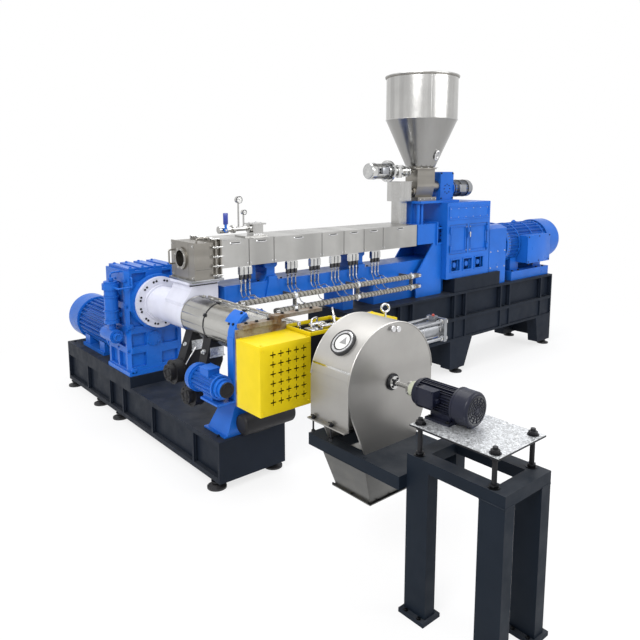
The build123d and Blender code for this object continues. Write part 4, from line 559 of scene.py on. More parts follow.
def gearbox_fittings():
    """Bearing cover, lugs, lid and side bolts, and the oil cap of the lower gearbox."""
    low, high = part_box("lower_gearbox")
    face = low.y + 0.05
    cover = Vector((LOWER_X - 0.045, face, 0.83))
    bm = drum(bmesh.new(), cover, cover - Y * 0.012, 0.072, 32, soft=0.003)
    bolt_circle(bm, cover - Y * 0.012, -Y, 0.056, 8, 0.007)
    for x, z in ((low.x + 0.05, 0.525), (high.x - 0.06, 0.525), (low.x + 0.03, 0.95), (high.x - 0.04, 0.95)):
        slab(bm, (x - 0.028, face - 0.012, z - 0.002), (x + 0.028, face + 0.004, z + 0.045), 0.004)
        bolt(bm, (x, face - 0.012, z + 0.02), -Y, 0.011)
    lid_xs = [low.x + step for step in (0.075, 0.195, 0.32, 0.46)]
    bolts(bm, product(lid_xs, (low.y + 0.1, high.y - 0.07), (high.z,)), Z, 0.011)
    bolts(bm, product((low.x + 0.012,), (face + 0.03, face + 0.25), (0.735, 0.935, 1.16, 1.4)), -X, 0.010)
    cap = Vector((low.x - 0.078, middle("oil_set").y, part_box("oil_set")[1].z))
    drum(bm, cap - Z * 0.085, cap - Z * 0.052, 0.022, 20, soft=0.003)
    add_piece("gearbox_fittings", bm, BLUE)


def oil_fittings():
    """Caps, unions and straps of the oil filter and pump."""
    can = Vector((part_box("oil_set")[0].x + 0.078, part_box("lower_gearbox")[0].y + 0.2, 0))
    bm = bmesh.new()
    for z in (1.03, 1.12, 1.255, 1.345):
        band(bm, can + Z * z, Z, 0.060, 0.071, 0.012)
    bolt_circle(bm, can + Z * 1.376, Z, 0.058, 6, 0.007)
    hoop(bm, at(0, -0.126, 0.888, can), Y, 0.030, 0.006, 24)
    bolt_circle(bm, at(0, -0.092, 0.888, can), -Y, 0.05, 6, 0.006)
    add_piece("oil_fittings", bm, BLUE)


def lower_motor_detail():
    """Bands, end bolts, lifting eye, terminal box, foot bolts, fins and grille of the lower motor."""
    low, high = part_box("lower_motor")
    radius = (high.z - low.z) / 2
    nose = Vector((LOWER_X, low.y, (low.z + high.z) / 2))
    tail = Vector((LOWER_X, high.y, nose.z))
    bm = bmesh.new()
    for spot in (nose + Y * 0.2, tail - Y * 0.29):
        band(bm, spot, Y, radius - 0.03, radius - 0.006, 0.016)
    bolt_circle(bm, nose + Y * 0.186, -Y, radius - 0.024, 8, 0.009, 22)
    eye = at(0, 0.5, radius - 0.008, nose)
    drum(bm, eye - Z * 0.03, eye + Z * 0.012, 0.016, 16)
    hoop(bm, eye + Z * 0.034, Y, 0.024, 0.007, 24)
    slab(bm, at(radius - 0.05, 0.42, -0.05, nose), at(radius + 0.07, 0.66, 0.11, nose), 0.008)
    foot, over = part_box("lower_motor_foot")
    bolts(bm, product(ends(foot.x, over.x, 0.03), ends(foot.y, over.y, 0.05), (foot.z + 0.034,)), Z, 0.013)
    add_piece("lower_motor_detail", bm, BLUE)
    thin_fins("lower_motor_fins", nose + Y * 0.225, tail - Y * 0.300, radius - 0.064, radius - 0.019, 56,
              BLUE)
    motor_grille("lower_motor_grille", Y, tail, radius, BLUE)


def on_cover(bm, angle, start, end, inner, outer, half, soft):
    """Block on the lower barrel's covers from one y to another; inner and outer are from their surface."""
    slab(bm, at(COVER_R + inner, start, -half, LOWER), at(COVER_R + outer, end, half, LOWER), soft,
         around_lower(angle))


def lower_cover_detail():
    """Folds, seam straps, latches and the top strip of the lower barrel's covers."""
    low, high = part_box("lower_barrel_covers")
    length = high.y - low.y
    steel = bmesh.new()
    dark = bmesh.new()
    for angle in (138, 160, 184, 206, 338, 20):
        on_cover(steel, angle, low.y + 0.004, high.y - 0.004, -0.002, 0.0022, 0.003, 0.001)
    on_cover(steel, 82, low.y + 0.01, high.y - 0.01, -0.003, 0.006, 0.014, 0.002)
    for share in SEAMS:
        y = high.y - length * share
        strap, width = (dark, 0.014) if share == SEAMS[0] else (steel, 0.018)
        band(strap, LOWER + Y * y, Y, COVER_R - 0.001, COVER_R + 0.0025, width, 72)
        for angle in (150, 95):
            on_cover(dark, angle, y - 0.018, y + 0.018, 0.0, 0.009, 0.013, 0.003)
    for y in (high.y - 0.008, low.y + 0.008):
        band(steel, LOWER + Y * y, Y, COVER_R - 0.001, COVER_R + 0.002, 0.012, 72)
    clips = 11
    for i in range(clips):
        y = high.y - length * (i + 0.5) / clips
        on_cover(steel, 82, y - 0.010, y + 0.010, 0.004, 0.013, 0.018, 0.002)
        bolt(dark, *outward(82, COVER_R + 0.012, y), 0.005)
    add_piece("lower_cover_folds", steel, SHEET_Y)
    add_piece("lower_cover_latches", dark, OXIDE)
    path = [outward(64 + 3 * (i % 2), COVER_R + 0.011, high.y - 0.06 - (length - 0.2) * i / 12)[0]
            for i in range(13)]
    add_piece("lower_braided_conduit", tube(bmesh.new(), path, 0.011, 10, 4), HOSE_BRAID)


def yoke_bolts():
    """Strap bolts and foot bolts of the barrel's yoke."""
    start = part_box("barrel_yoke")[0].y
    bm = bmesh.new()
    for angle in (118, 150, 30, 62):
        bolt(bm, *outward(angle, 0.190, start + 0.04), 0.009)
    bolts(bm, product((LOWER_X - 0.09, LOWER_X + 0.09), (start + 0.03, start + 0.20), (0.716,)), Z, 0.011)
    add_piece("yoke_bolts", bm, OXIDE)


def duct_collars():
    """Bare metal outlet of each blower's duct, right under the barrel covers."""
    bm = bmesh.new()
    for y in BLOWER_YS:
        top = at(0, y, LOWER_Z - COVER_R)
        slab(bm, at(-0.136, -0.058, -0.085, top), at(-0.010, 0.058, -0.012, top), 0.003)
        slab(bm, at(-0.142, -0.064, -0.094, top), at(-0.004, 0.064, -0.084, top), 0.002)
        port = top - Z * 0.050
        drum(bm, port - X * 0.136, port - X * 0.170, 0.020, 24, soft=0.002)
        drum(bm, port - X * 0.170, port - X * 0.182, 0.012, 6)
    add_piece("duct_collars", bm, ZINC)


def blower_detail():
    """Rims and hub plates of the two fans, with the clamps and straps on their ducts."""
    dark = bmesh.new()
    steel = bmesh.new()
    for y, z in zip(BLOWER_YS, (0.764, 0.655)):
        hub = at(-0.292, y, z)
        for side in (0.0, 0.07):
            band(dark, hub + X * side, X, 0.088, 0.101, 0.008, 40)
        bolt_circle(dark, hub - X * 0.046, -X, 0.052, 6, 0.006)
        hoop(dark, hub - X * 0.047, X, 0.034, 0.004, 28)
        slab(dark, at(0.07, -0.062, -0.054, hub), at(0.084, 0.062, 0.074, hub), 0.003)
        slab(steel, at(0.14, -0.030, 0.066, hub), at(0.152, -0.016, 0.15, hub), 0.002)
        tube(steel, [at(0.09, -0.064, 0.06, hub), at(0.13, -0.075, 0.13, hub), at(0.19, -0.06, 0.19, hub)],
             0.006)
    low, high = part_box("blower_motor")
    nose = Vector((LOWER_X - 0.285, low.y, 0.830))
    drum(dark, nose - Y * 0.012, nose + Y * 0.004, 0.058, 32, soft=0.004)
    hoop(dark, nose - Y * 0.012, Y, 0.040, 0.003, 28)
    add_piece("blower_rims", dark, IRON)
    add_piece("blower_straps", steel, CHROME)
    tail = Vector((nose.x, high.y, nose.z))
    motor = bolt_circle(bmesh.new(), nose + Y * 0.066, -Y, 0.064, 4, 0.007, 45)
    band(motor, tail - Y * 0.075, Y, 0.080, 0.096, 0.012)
    band(motor, nose + Y * 0.074, Y, 0.080, 0.093, 0.014)
    box = Vector((nose.x, low.y, high.z))
    slab(motor, at(-0.064, 0.150, -0.008, box), at(0.044, 0.282, 0.004, box), 0.003)
    bolts(motor, grid(box, (-0.052, 0.032), (0.162, 0.270), 0.004), Z, 0.005)
    add_piece("blower_motor_trim", motor, BLUE)
    thin_fins("blower_motor_fins", nose + Y * 0.070, tail - Y * 0.075, 0.060, 0.0885, 32, BLUE)
    motor_grille("blower_motor_grille", Y, tail, 0.109, BLUE)


def foot_nuts():
    """Lock nuts on the stems of the levelling feet."""
    bm = bmesh.new()
    for feet, xs, ys in (("lower_feet", (-0.266, 0.266), (-0.83, 0.965, 1.453, 2.2)),
                         ("upper_feet", (1.8, 3.4, 5.37), (-0.27, 0.27))):
        for spot in grid(ORIGIN, xs, ys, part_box(feet)[1].z):
            drum(bm, spot - Z * 0.036, spot - Z * 0.018, 0.038, 6, soft=0.002)
            drum(bm, spot - Z * 0.018, spot - Z * 0.012, 0.044, 24)
    add_piece("foot_lock_nuts", bm, OXIDE)


def base_detail():
    """Weld beads beside the ribs and the bolts on both bases."""
    bm = bmesh.new()
    low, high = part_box("lower_base")
    bottom, top = ends(low.z, high.z, 0.044)
    for x, y, edge in product(ends(low.x, high.x, 0.020), (-0.54, 0.186, 0.803, 1.114, 1.7), (-0.013, 0.013)):
        bead(bm, (x, UPPER_Y + y + edge, bottom), (x, UPPER_Y + y + edge, top), 0.004)
    for y, deck in ((-0.83, high.z), (2.2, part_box("lower_plinth")[1].z)):
        bolts(bm, product(ends(low.x, high.x, 0.06), (UPPER_Y + y,), (deck,)), Z, 0.012)
    low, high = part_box("upper_base")
    bottom, top = ends(low.z, high.z, 0.026)
    ribs = (2.33, 2.53, 3.263, 3.474, 4.198, 4.398, 5.143)
    for y, x, edge in product(ends(low.y, high.y, 0.030), ribs, (-0.014, 0.014)):
        bead(bm, (LOWER_X + x + edge, y, bottom), (LOWER_X + x + edge, y, top), 0.005)
    anchor_xs = [LOWER_X + x for x in (1.68, 2.43, 3.37, 4.3, 5.3)]
    bolts(bm, product(anchor_xs, ends(low.y, high.y, 0.026), (bottom,)), Z, 0.011)
    add_piece("base_welds", bm, BASE_BLACK)


# Lower line: screen changer, hood and cutter

VENT_PITCH = 0.0585
VENT_REACH = 0.0205
VENT_BAR = 0.0045
GUARD_SHEET = 0.004
GUARD_TOP = 1.388
TRAY_RIM = 0.024
TRAY_SHEET = 0.009
TRAY_FLOOR = 1.362


def vent_lines(low, first, high, count):
    """Places where a guard's front sheet is divided so that each vent's bars fall between two of them."""
    lines = [low]
    for i in range(count):
        centre = first + i * VENT_PITCH
        lines += [centre - VENT_REACH, centre - VENT_BAR, centre + VENT_BAR, centre + VENT_REACH]
    return lines + [high]


def vented_sheet(bm, across, up):
    """Flat sheet of cells without those of the plus-shaped vents; tells each corner's column and row."""
    sheet = bmesh.ops.create_grid(bm, x_segments=across, y_segments=up, size=0.5)["verts"]
    spots = {vert: (round((vert.co.x + 0.5) * across), round((vert.co.y + 0.5) * up)) for vert in sheet}
    vents = []
    for face in {face for vert in sheet for face in vert.link_faces}:
        i = min(spots[vert][0] for vert in face.verts) % 4
        j = min(spots[vert][1] for vert in face.verts) % 4
        if (i == 2 and j) or (j == 2 and i):
            vents.append(face)
    bmesh.ops.delete(bm, geom=vents, context="FACES")
    return {vert: spot for vert, spot in spots.items() if vert.is_valid}


def guard_shell(bm, side):
    """Yellow box over one end of the slide, open at the screen changer, with plus-shaped vents in front."""
    low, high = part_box("right_guard")
    xs = vent_lines(low.x - LOWER_X, 0.254, high.x - LOWER_X, 5)
    zs = vent_lines(low.z, 1.033, high.z, 6)
    across, up = len(xs) - 1, len(zs) - 1
    spots = vented_sheet(bm, across, up)
    for vert, (i, j) in spots.items():
        vert.co = (LOWER_X + side * xs[i], low.y, zs[j])
    rim = []
    for edge in bm.edges:
        columns = {spots[vert][0] for vert in edge.verts}
        rows = {spots[vert][1] for vert in edge.verts}
        if edge.is_boundary and (columns == {across} or rows in ({0}, {up})):
            rim.append(edge)
    grown = bmesh.ops.extrude_edge_only(bm, edges=rim)["geom"]
    moved = [item for item in grown if isinstance(item, bmesh.types.BMVert)]
    bmesh.ops.translate(bm, vec=Y * (high.y - low.y), verts=moved)
    folds = [edge for edge in bm.edges if len(edge.link_faces) == 2 and edge.calc_face_angle(0.0) > 1.0]
    rounded(bm, folds, 0.003)
    bmesh.ops.recalc_face_normals(bm, faces=bm.faces)
    front = min(bm.faces, key=lambda face: face.calc_center_median().y)
    if front.normal.y > 0:
        bmesh.ops.reverse_faces(bm, faces=bm.faces)
    bmesh.ops.solidify(bm, geom=bm.faces, thickness=GUARD_SHEET)


def tray_rims(bm):
    """Upright rims of the tray between the guards."""
    low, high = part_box("right_guard")
    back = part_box("screen_changer")[1].y
    half = low.x - LOWER_X
    for x in (LOWER_X - half, LOWER_X + half - TRAY_SHEET):
        slab(bm, (x, low.y, high.z), (x + TRAY_SHEET, back, high.z + TRAY_RIM), 0.002)
    for y in (low.y, back - TRAY_SHEET):
        slab(bm, (LOWER_X - half, y, high.z), (LOWER_X + half, y + TRAY_SHEET, high.z + TRAY_RIM), 0.002)


def slide_guards():
    """Both guards with the tray between them; they stand for the plain ones of the CAD model."""
    low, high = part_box("right_guard")
    for side, name in ((-1, "left_guard"), (1, "right_guard")):
        bm = bmesh.new()
        guard_shell(bm, side)
        start, end = sorted(LOWER_X + side * (x - LOWER_X) for x in (low.x, high.x - GUARD_SHEET))
        slab(bm, (start, high.y - GUARD_SHEET, low.z + GUARD_SHEET), (end, high.y, high.z - GUARD_SHEET))
        if side < 0:
            tray_rims(bm)
        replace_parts(add_piece(name + "_sheet", bm, YELLOW), name)
        # painted shade: a dark rubber sheet just behind the front sheet makes the vents look dark, as shade
        # inside the guard
        painted_vent_shade = slab(bmesh.new(), (start + 0.002, low.y + 0.045, low.z + 0.006),
                      (end - 0.002, low.y + 0.048, high.z - 0.006))
        add_piece(name + "_painted_vent_shade", painted_vent_shade, RUBBER)


def clamp_bolts():
    """Bolts on top and in front of the clamp bars."""
    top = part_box("clamp_plates")[1].z
    bm = bmesh.new()
    for x in (-0.50, -0.42, -0.33, -0.22, -0.10, 0.02):
        bolt(bm, at(x, -1.617, top if x > -0.30 else top - 0.023), Z, 0.010)
    bolts(bm, grid(ORIGIN, (-0.55, -0.40, -0.25), -1.618, (1.0, 1.2, 1.36)), Y, 0.008)
    add_piece("clamp_bolts", bm, OXIDE)


def tray_detail():
    """Bright blocks, posts and bent pipes on the dark floor of the tray."""
    chrome = bmesh.new()
    for x, y, width, depth, height in ((-0.12, -1.79, 0.05, 0.09, 0.045), (-0.02, -1.80, 0.07, 0.05, 0.06),
                                       (0.09, -1.78, 0.05, 0.10, 0.04), (0.00, -1.70, 0.12, 0.03, 0.05)):
        base = at(x, y, TRAY_FLOOR)
        slab(chrome, at(-width / 2, -depth / 2, -0.002, base), at(width / 2, depth / 2, height, base), 0.005)
        bolt(chrome, base + Z * height, Z, 0.009)
    for post in grid(ORIGIN, (-0.15, 0.15), -1.70, TRAY_FLOOR):
        drum(chrome, post, post + Z * 0.075, 0.012, 16, soft=0.002)
    tube(chrome, [at(-0.12, -1.79, 1.40), at(-0.10, -1.77, 1.455), at(-0.04, -1.75, 1.46),
                  at(0, -1.70, 1.41)], 0.006)
    tube(chrome, [at(0.09, -1.78, 1.40), at(0.11, -1.73, 1.50), at(0.15, -1.70, 1.43)], 0.006)
    add_piece("changer_blocks", chrome, CHROME)
    slick = slab(bmesh.new(), at(-0.168, -1.848, TRAY_FLOOR - 0.001), at(0.168, -1.638, TRAY_FLOOR + 0.003))
    add_piece("changer_tray_floor", slick, GLASS)


def guard_fittings():
    """Lifting eye and sheet screws of the two guards."""
    spot = at(0.475, -1.865, GUARD_TOP)
    eye = drum(bmesh.new(), spot - Z * 0.002, spot + Z * 0.010, 0.020, 20)
    drum(eye, spot, spot + Z * 0.055, 0.009, 14)
    hoop(eye, spot + Z * 0.080, (0.6, 0.8, 0), 0.027, 0.0075, 36, 10)
    add_piece("guard_lifting_eye", eye, CHROME)
    tops = grid(ORIGIN, (-0.563, -0.22, 0.22, 0.563), (-1.862, -1.652), GUARD_TOP)
    screws = bolts(bmesh.new(), tops, Z, 0.006)
    bolts(screws, grid(ORIGIN, (-0.565, -0.22, 0.22, 0.565), -1.880, (0.985, 1.36)), -Y, 0.005)
    add_piece("guard_screws", screws, YELLOW)


def cylinder_detail():
    """Nuts on the tie rods, gland rings, port and the red plug of the hydraulic cylinder."""
    low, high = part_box("hydraulic_cylinder")
    near = Vector((low.x + 0.034, UPPER_Y - 1.743, LOWER_Z))
    far = Vector((high.x - 0.024, near.y, near.z))
    bm = bmesh.new()
    for y, z in product((-0.065, 0.065), (-0.065, 0.065)):
        for spot, way in ((far, 1), (far - X * 0.034, -1), (near, 1)):
            nut = at(0, y, z, spot)
            drum(bm, nut, nut + X * way * 0.014, 0.022, 6, soft=0.001)
    for spot in (near + X * 0.012, far - X * 0.046):
        band(bm, spot, X, 0.060, 0.074, 0.024)
    for spot in (near + X * 0.17, near + X * 0.34):
        band(bm, spot, X, 0.060, 0.0675, 0.006)
    drum(bm, at(0.05, 0, 0.06, near), at(0.05, 0, 0.092, near), 0.014, 6)
    add_piece("cylinder_nuts", bm, CHROME)
    plug = far - X * 0.06
    cap = drum(bmesh.new(), plug + Z * 0.1045, plug + Z * 0.118, 0.012, 12, 0.009, 0.001)
    add_piece("cylinder_plug", cap, RED)


def hood_edges():
    """Bent lid edge and rim beads of the cutter hood."""
    low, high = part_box("cutter_hood")
    start, end = ends(low.y, high.y, 0.001)
    flare = bmesh.new()
    for angle, way in ((11.5, 1), (168.5, -1)):
        tilt = around_lower(angle) @ about(at(0.3535, 0, way * 0.052, LOWER), radians(way * 13), "Y")
        bottom, top = sorted((-way * 0.004, way * 0.052))
        slab(flare, at(0.3505, start, bottom, LOWER), at(0.3545, end, top, LOWER), 0.0012, tilt)
    add_piece("hood_lid_flare", flare, BRIGHT)
    beads = bmesh.new()
    for y in (start, end):
        tube(beads, [outward(angle, 0.352, y)[0] for angle in range(4, 179, 8)], 0.0042, 8, 2)
    add_piece("hood_rim_beads", beads, HOOD_STEEL)


def sight_glass():
    """Window in the hood's round top, with its frame and seals, a white pane of painted reflection and a dark
    wedge of painted reflection on it.
    """
    centre, normal = outward(136, 0.369, UPPER_Y - 2.24)
    ring = turned(bmesh.new(), centre, normal, [(0.055, -0.012), (0.073, -0.012), (0.0745, 0.0015),
                                                (0.070, 0.004), (0.058, 0.004), (0.055, 0.001)], 56)
    bolt_circle(ring, centre + normal * 0.004, normal, 0.0645, 6, 0.0035, 30)
    add_piece("sight_glass_frame", ring, CHROME)
    seals = bmesh.new()
    for outline in ([(0.0715, -0.020), (0.0800, -0.020), (0.0800, 0.003), (0.0715, 0.005)],
                    [(0.049, -0.006), (0.0556, -0.006), (0.0556, 0.0045), (0.051, 0.004)]):
        turned(seals, centre, normal, outline, 56)
    add_piece("sight_glass_seals", seals, RUBBER)
    # painted reflection: the pane is pale white, standing for a bright reflection in the glass
    pane = drum(bmesh.new(), centre - normal * 0.014, centre + normal * 0.001, 0.0495, 48)
    add_piece("sight_glass_pane_painted_glare", pane, DIAL)
    # painted reflection: a thin dark three-sided wedge on the pane stands for a dark reflection across the
    # glass
    pivot = Matrix.Translation(centre) @ towards(normal)
    back, front = pivot @ Vector((0.010, 0.004, -0.001)), pivot @ Vector((0.010, 0.004, 0.0035))
    add_piece("sight_glass_painted_dark_reflection", drum(bmesh.new(), back, front, 0.031, 3, tip=0.029), GLASS)


def hood_fittings():
    """Knobs and lip studs of the hood, and the ring round the shaft's bearing."""
    knobs = bmesh.new()
    for x, z in ((-0.016, 1.506), (0.026, 1.498)):
        spot = Vector((LOWER_X + x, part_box("cutter_hood")[0].y, z))
        drum(knobs, spot, spot - Y * 0.016, 0.006, 12)
        drum(knobs, spot - Y * 0.010, spot - Y * 0.024, 0.018, 24, soft=0.004)
    add_piece("hood_knobs", knobs, CHROME)
    studs = bmesh.new()
    for spot in grid(ORIGIN, (-0.364, 0.364), (-2.10, -2.255), 0.973):
        bolt(studs, spot, Z, 0.010)
        drum(studs, spot + Z * 0.010, spot + Z * 0.022, 0.006, 12)
        slab(studs, at(-0.004, -0.022, 0.014, spot), at(0.004, 0.022, 0.020, spot), 0.002)
        drum(studs, spot - Z * 0.090, spot, 0.0055, 12)
        drum(studs, spot - Z * 0.085, spot - Z * 0.070, 0.012, 6)
    add_piece("hood_lip_studs", studs, OXIDE)
    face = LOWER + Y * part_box("shaft_bearing")[0].y
    bearing = band(bmesh.new(), face + Y * 0.020, Y, 0.030, 0.050, 0.008, 40)
    band(bearing, face - Y * 0.0015, Y, 0.0145, 0.020, 0.004, 32)
    bolt_circle(bearing, face, -Y, 0.0285, 4, 0.0055, 45)
    add_piece("bearing_ring", bearing, OXIDE)


def rotor_detail():
    """Flexible element, hub screws and clamp ring that turn with the cutter shaft."""
    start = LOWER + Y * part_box("cutter_shaft")[0].y
    soft = turned(bmesh.new(), start, Y, [(0.014, 0.006), (0.0425, 0.006), (0.0445, 0.009), (0.0445, 0.046),
                                          (0.0425, 0.049), (0.014, 0.049)], 40)
    add_piece("coupling_element", soft, BEIGE, "cutter_rotor")
    hubs = bmesh.new()
    for y, reach in ((0.020, 0.044), (0.058, 0.0405)):
        for i in range(4):
            angle = i * pi / 2 + 0.4
            out = Vector((cos(angle), 0, sin(angle)))
            spot = start + Y * y + out * reach
            drum(hubs, spot - out * 0.002, spot + out * 0.003, 0.005, 12)
    band(hubs, start + Y * 0.080, Y, 0.0125, 0.019, 0.012, 28)
    add_piece("coupling_screws", hubs, CHROME, "cutter_rotor")


def cutter_motor_detail():
    """Bands, terminal lid, fins and fan grille of the cutter motor."""
    low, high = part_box("cutter_motor")
    nose, tail = LOWER + Y * low.y, LOWER + Y * high.y
    bm = band(bmesh.new(), nose + Y * 0.100, Y, 0.070, 0.0965, 0.010)
    band(bm, tail - Y * 0.028, Y, 0.070, 0.083, 0.010)
    bolt_circle(bm, tail, Y, 0.062, 4, 0.006, 45)
    slab(bm, at(-0.1285, 0.185, -0.018, nose), at(-0.121, 0.305, 0.078, nose), 0.002)
    bolts(bm, grid(nose, -0.1285, (0.195, 0.295), (-0.008, 0.068)), -X, 0.0045)
    drum(bm, at(-0.095, 0.172, 0.02, nose), at(-0.095, 0.192, 0.02, nose), 0.014, 6)
    count = 34
    for i in range(count):
        behind_box = 100 < i * 360 / count < 260
        if not (behind_box and i % 2):
            slab(bm, at(0.062, 0.104, -0.0013, nose), at(0.0815, -0.034, 0.0013, tail),
                 turn=about(LOWER, 2 * pi * i / count, "Y"))
    add_piece("cutter_motor_fins", bm, NAVY)
    # painted shade: a dark disc behind the grille stands for the shade inside the cowl
    inlet = nose - Y * 0.0008
    add_piece("cutter_motor_inlet", drum(bmesh.new(), inlet, inlet + Y * 0.004, 0.076, 40), DARK)
    motor_grille("cutter_motor_grille", -Y, nose - Y * 0.0045, 0.090, NAVY)


def plate_detail():
    """Foot bolts and stud nuts of the motor plate, and thin dark strips of painted shadow round its edges."""
    low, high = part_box("motor_plate")
    foot_ys = (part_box("cutter_motor")[0].y + 0.125, UPPER_Y - 2.722)
    feet = product((LOWER_X - 0.075, LOWER_X + 0.075), foot_ys, (high.z + 0.012,))
    nuts = bolts(bmesh.new(), feet, Z, 0.009)
    for spot in grid(ORIGIN, (-0.163, 0.163), (-3.192, -2.736), 0.915):
        drum(nuts, spot, spot + Z * 0.020, 0.023, 6, soft=0.001)
        for rise, thick in ((-0.001, 0.005), (0.157, 0.0035), (0.171, 0.0035)):
            drum(nuts, spot + Z * rise, spot + Z * (rise + thick), 0.030, 24)
    add_piece("plate_nuts", nuts, OXIDE)
    # painted shadow: thin dark strips round the plate's sides stand for the shadow of its thickness
    proud = 0.0008
    bottom, top = low.z + 0.0003, high.z - proud
    edges = bmesh.new()
    for x in (low.x, high.x):
        slab(edges, (x - proud, low.y - proud, bottom), (x + proud, high.y + proud, top))
    for y in (low.y, high.y):
        slab(edges, (low.x - proud, y - proud, bottom), (high.x + proud, y + proud, top))
    add_piece("plate_edge_painted_shadow", edges, OXIDE)


def table_detail():
    """Pad bolts of the cutter's legs, weld beads of the front frame and the screws of the chute's flange."""
    legs_low, legs_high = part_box("cutter_legs")
    low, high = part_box("front_frame")
    pads = bmesh.new()
    for x, back_too in ((legs_low.x + 0.070, True), (legs_high.x - 0.070, False)):
        for y in ends(low.y, high.y, 0.0725):
            if back_too or y < low.y + 0.3:
                bolts(pads, grid(Vector((x, y, 0.024)), (-0.055, 0.055), (-0.045, 0.045), 0), Z, 0.009)
    add_piece("leg_pad_bolts", pads, OXIDE)
    corner = Vector((LOWER_X, low.y, low.z - 0.001))
    weld = bmesh.new()
    for x in (-0.2, -0.12, 0.12, 0.2):
        bead(weld, at(x, 0.002, 0, corner), at(x, 0.143, 0, corner), 0.004)
    for y, x in product((0.001, 0.144), (-0.2, 0.12)):
        bead(weld, at(x, y, 0, corner), at(x + 0.08, y, 0, corner), 0.004)
    for spot in grid(ORIGIN, (-0.234, 0.234), -2.4, 0.799):
        drum(weld, spot, spot + Z * 0.004, 0.012, 16)
    add_piece("table_welds", weld, SLATE)
    low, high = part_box("pellet_chute")
    side_ys = (low.y + 0.02, (low.y + high.y) / 2 - 0.05, high.y - 0.10)
    screws = bolts(bmesh.new(), product(ends(low.x, high.x, 0.009), side_ys, (low.z + 0.006,)), Z, 0.005)
    front_xs = [low.x + 0.08 + i * (high.x - low.x - 0.16) / 4 for i in range(5)]
    bolts(screws, product(front_xs, (low.y + 0.009,), (low.z + 0.006,)), Z, 0.005)
    add_piece("chute_screws", screws, OXIDE)


# Upper line: discharge end, covers, valves, vent, cabinet, main motor and feeder

TAPE_PITCH = 0.046
COVER_HALF = 0.213
MANIFOLD_Y = -0.320
TOP_PIPE_Z = 1.266
LOW_PIPE_Z = 1.148
CABINET_FRONT = -0.292
HOPPER_X = 2.990
HOPPER_NECK = (0.170, 2.430)
HOPPER_SEAM = (0.400, 2.962)


def discharge_detail():
    """Corner bolts, port bolts and end flange's swing bolts, a dark disc of painted shade deep in the port,
    and the sheet seams.
    """
    low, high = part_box("end_flange")
    port = at(-0.056, 0.022, 1.660)
    steel = bolts(bmesh.new(), grid(ORIGIN, -0.056, (-0.178, 0.178), (1.510, 1.778)), -X, 0.0085)
    bolt_circle(steel, port - X * 0.014, -X, 0.085, 8, 0.0065, 22.5)
    band(steel, port - X * 0.0145, X, 0.072, 0.075, 0.003)
    for z in (1.520, 1.600, 1.680, 1.760):
        side = Vector((low.x, low.y - 0.006, z))
        drum(steel, side - X * 0.030, side + X * (high.x - low.x + 0.006), 0.0065, 14)
        drum(steel, side - X * 0.022, side - X * 0.008, 0.0125, 6, soft=0.001)
        slab(steel, at(0.004, -0.010, -0.011, side), at(0.022, 0.010, 0.011, side), 0.003)
    for y in (-0.17, -0.06, 0.06, 0.17):
        spot = Vector((low.x + 0.030, UPPER_Y + y, high.z + 0.004))
        drum(steel, spot - X * 0.050, spot + X * 0.036, 0.0065, 14)
        drum(steel, spot - X * 0.050, spot - X * 0.036, 0.0125, 6)
    add_piece("discharge_bolts", steel, BRIGHT)
    # painted shade: a dark disc deep in the port stands for the shade inside it
    bottom = drum(bmesh.new(), port + X * 0.086, port + X * 0.0895, 0.0715, 40)
    add_piece("discharge_port_bottom", bottom, DARK)
    seams = slab(bmesh.new(), at(-0.055, -0.1966, 1.575), at(0.130, -0.195, 1.5768))
    for y in (-0.100, 0.128):
        slab(seams, at(-0.0566, y, 1.492), at(-0.055, y + 0.0016, 1.795))
    add_piece("discharge_seams", seams, DARK)


def cover_detail():
    """Slot handle and hold-down screws of every upper barrel cover."""
    low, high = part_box("upper_barrel_covers")
    edges = [low.x] + [LOWER_X + x for x in (0.479, 0.750, 1.323, 1.611, 1.890, 2.170)] + [high.x]
    slots, lips, screws = bmesh.new(), bmesh.new(), bmesh.new()
    lip = ((0.052, 0.001, 0.006), (0.046, -0.005, -0.001), (0.020, -0.007, -0.005))
    for start, end in zip(edges, edges[1:]):
        slot = Vector(((start + end) / 2, UPPER_Y - COVER_HALF, 1.780))
        # painted shade: a thin dark block stands for the shade inside each slot handle
        slab(slots, at(-0.044, -0.0012, 0, slot), at(0.044, 0.002, 0.008, slot), 0.0008)
        path = [at(-x, y, z, slot) for x, y, z in lip] + [at(x, y, z, slot) for x, y, z in reversed(lip)]
        tube(lips, path, 0.0048)
        for edge, side in product((start + 0.018, end - 0.018), (-1, 1)):
            bolt(screws, (edge, UPPER_Y + side * COVER_HALF, 1.596), Y * side, 0.005)
    add_piece("cover_slots", slots, DARK)
    add_piece("cover_slot_lips", lips, CHROME)
    add_piece("cover_screws", screws, CHROME)


def wound_tape(bm, start, length):
    """Metal tape wound round a manifold pipe as a screw line along x."""
    turns = int(length / TAPE_PITCH)
    wide = TAPE_PITCH * 0.6
    outline = [(0.0, 0.0247), (wide, 0.0247), (wide * 0.85, 0.0272), (wide * 0.15, 0.0272)]
    verts = [bm.verts.new(at(along, 0, radius, start)) for along, radius in outline]
    edges = [bm.edges.new((verts[i - 1], verts[i])) for i in range(4)]
    bmesh.ops.spin(bm, geom=verts + edges, cent=start, axis=X, dvec=X * TAPE_PITCH / 14,
                   angle=2 * pi * turns, steps=14 * turns)
    bmesh.ops.holes_fill(bm, edges=[edge for edge in bm.edges if edge.is_boundary], sides=4)


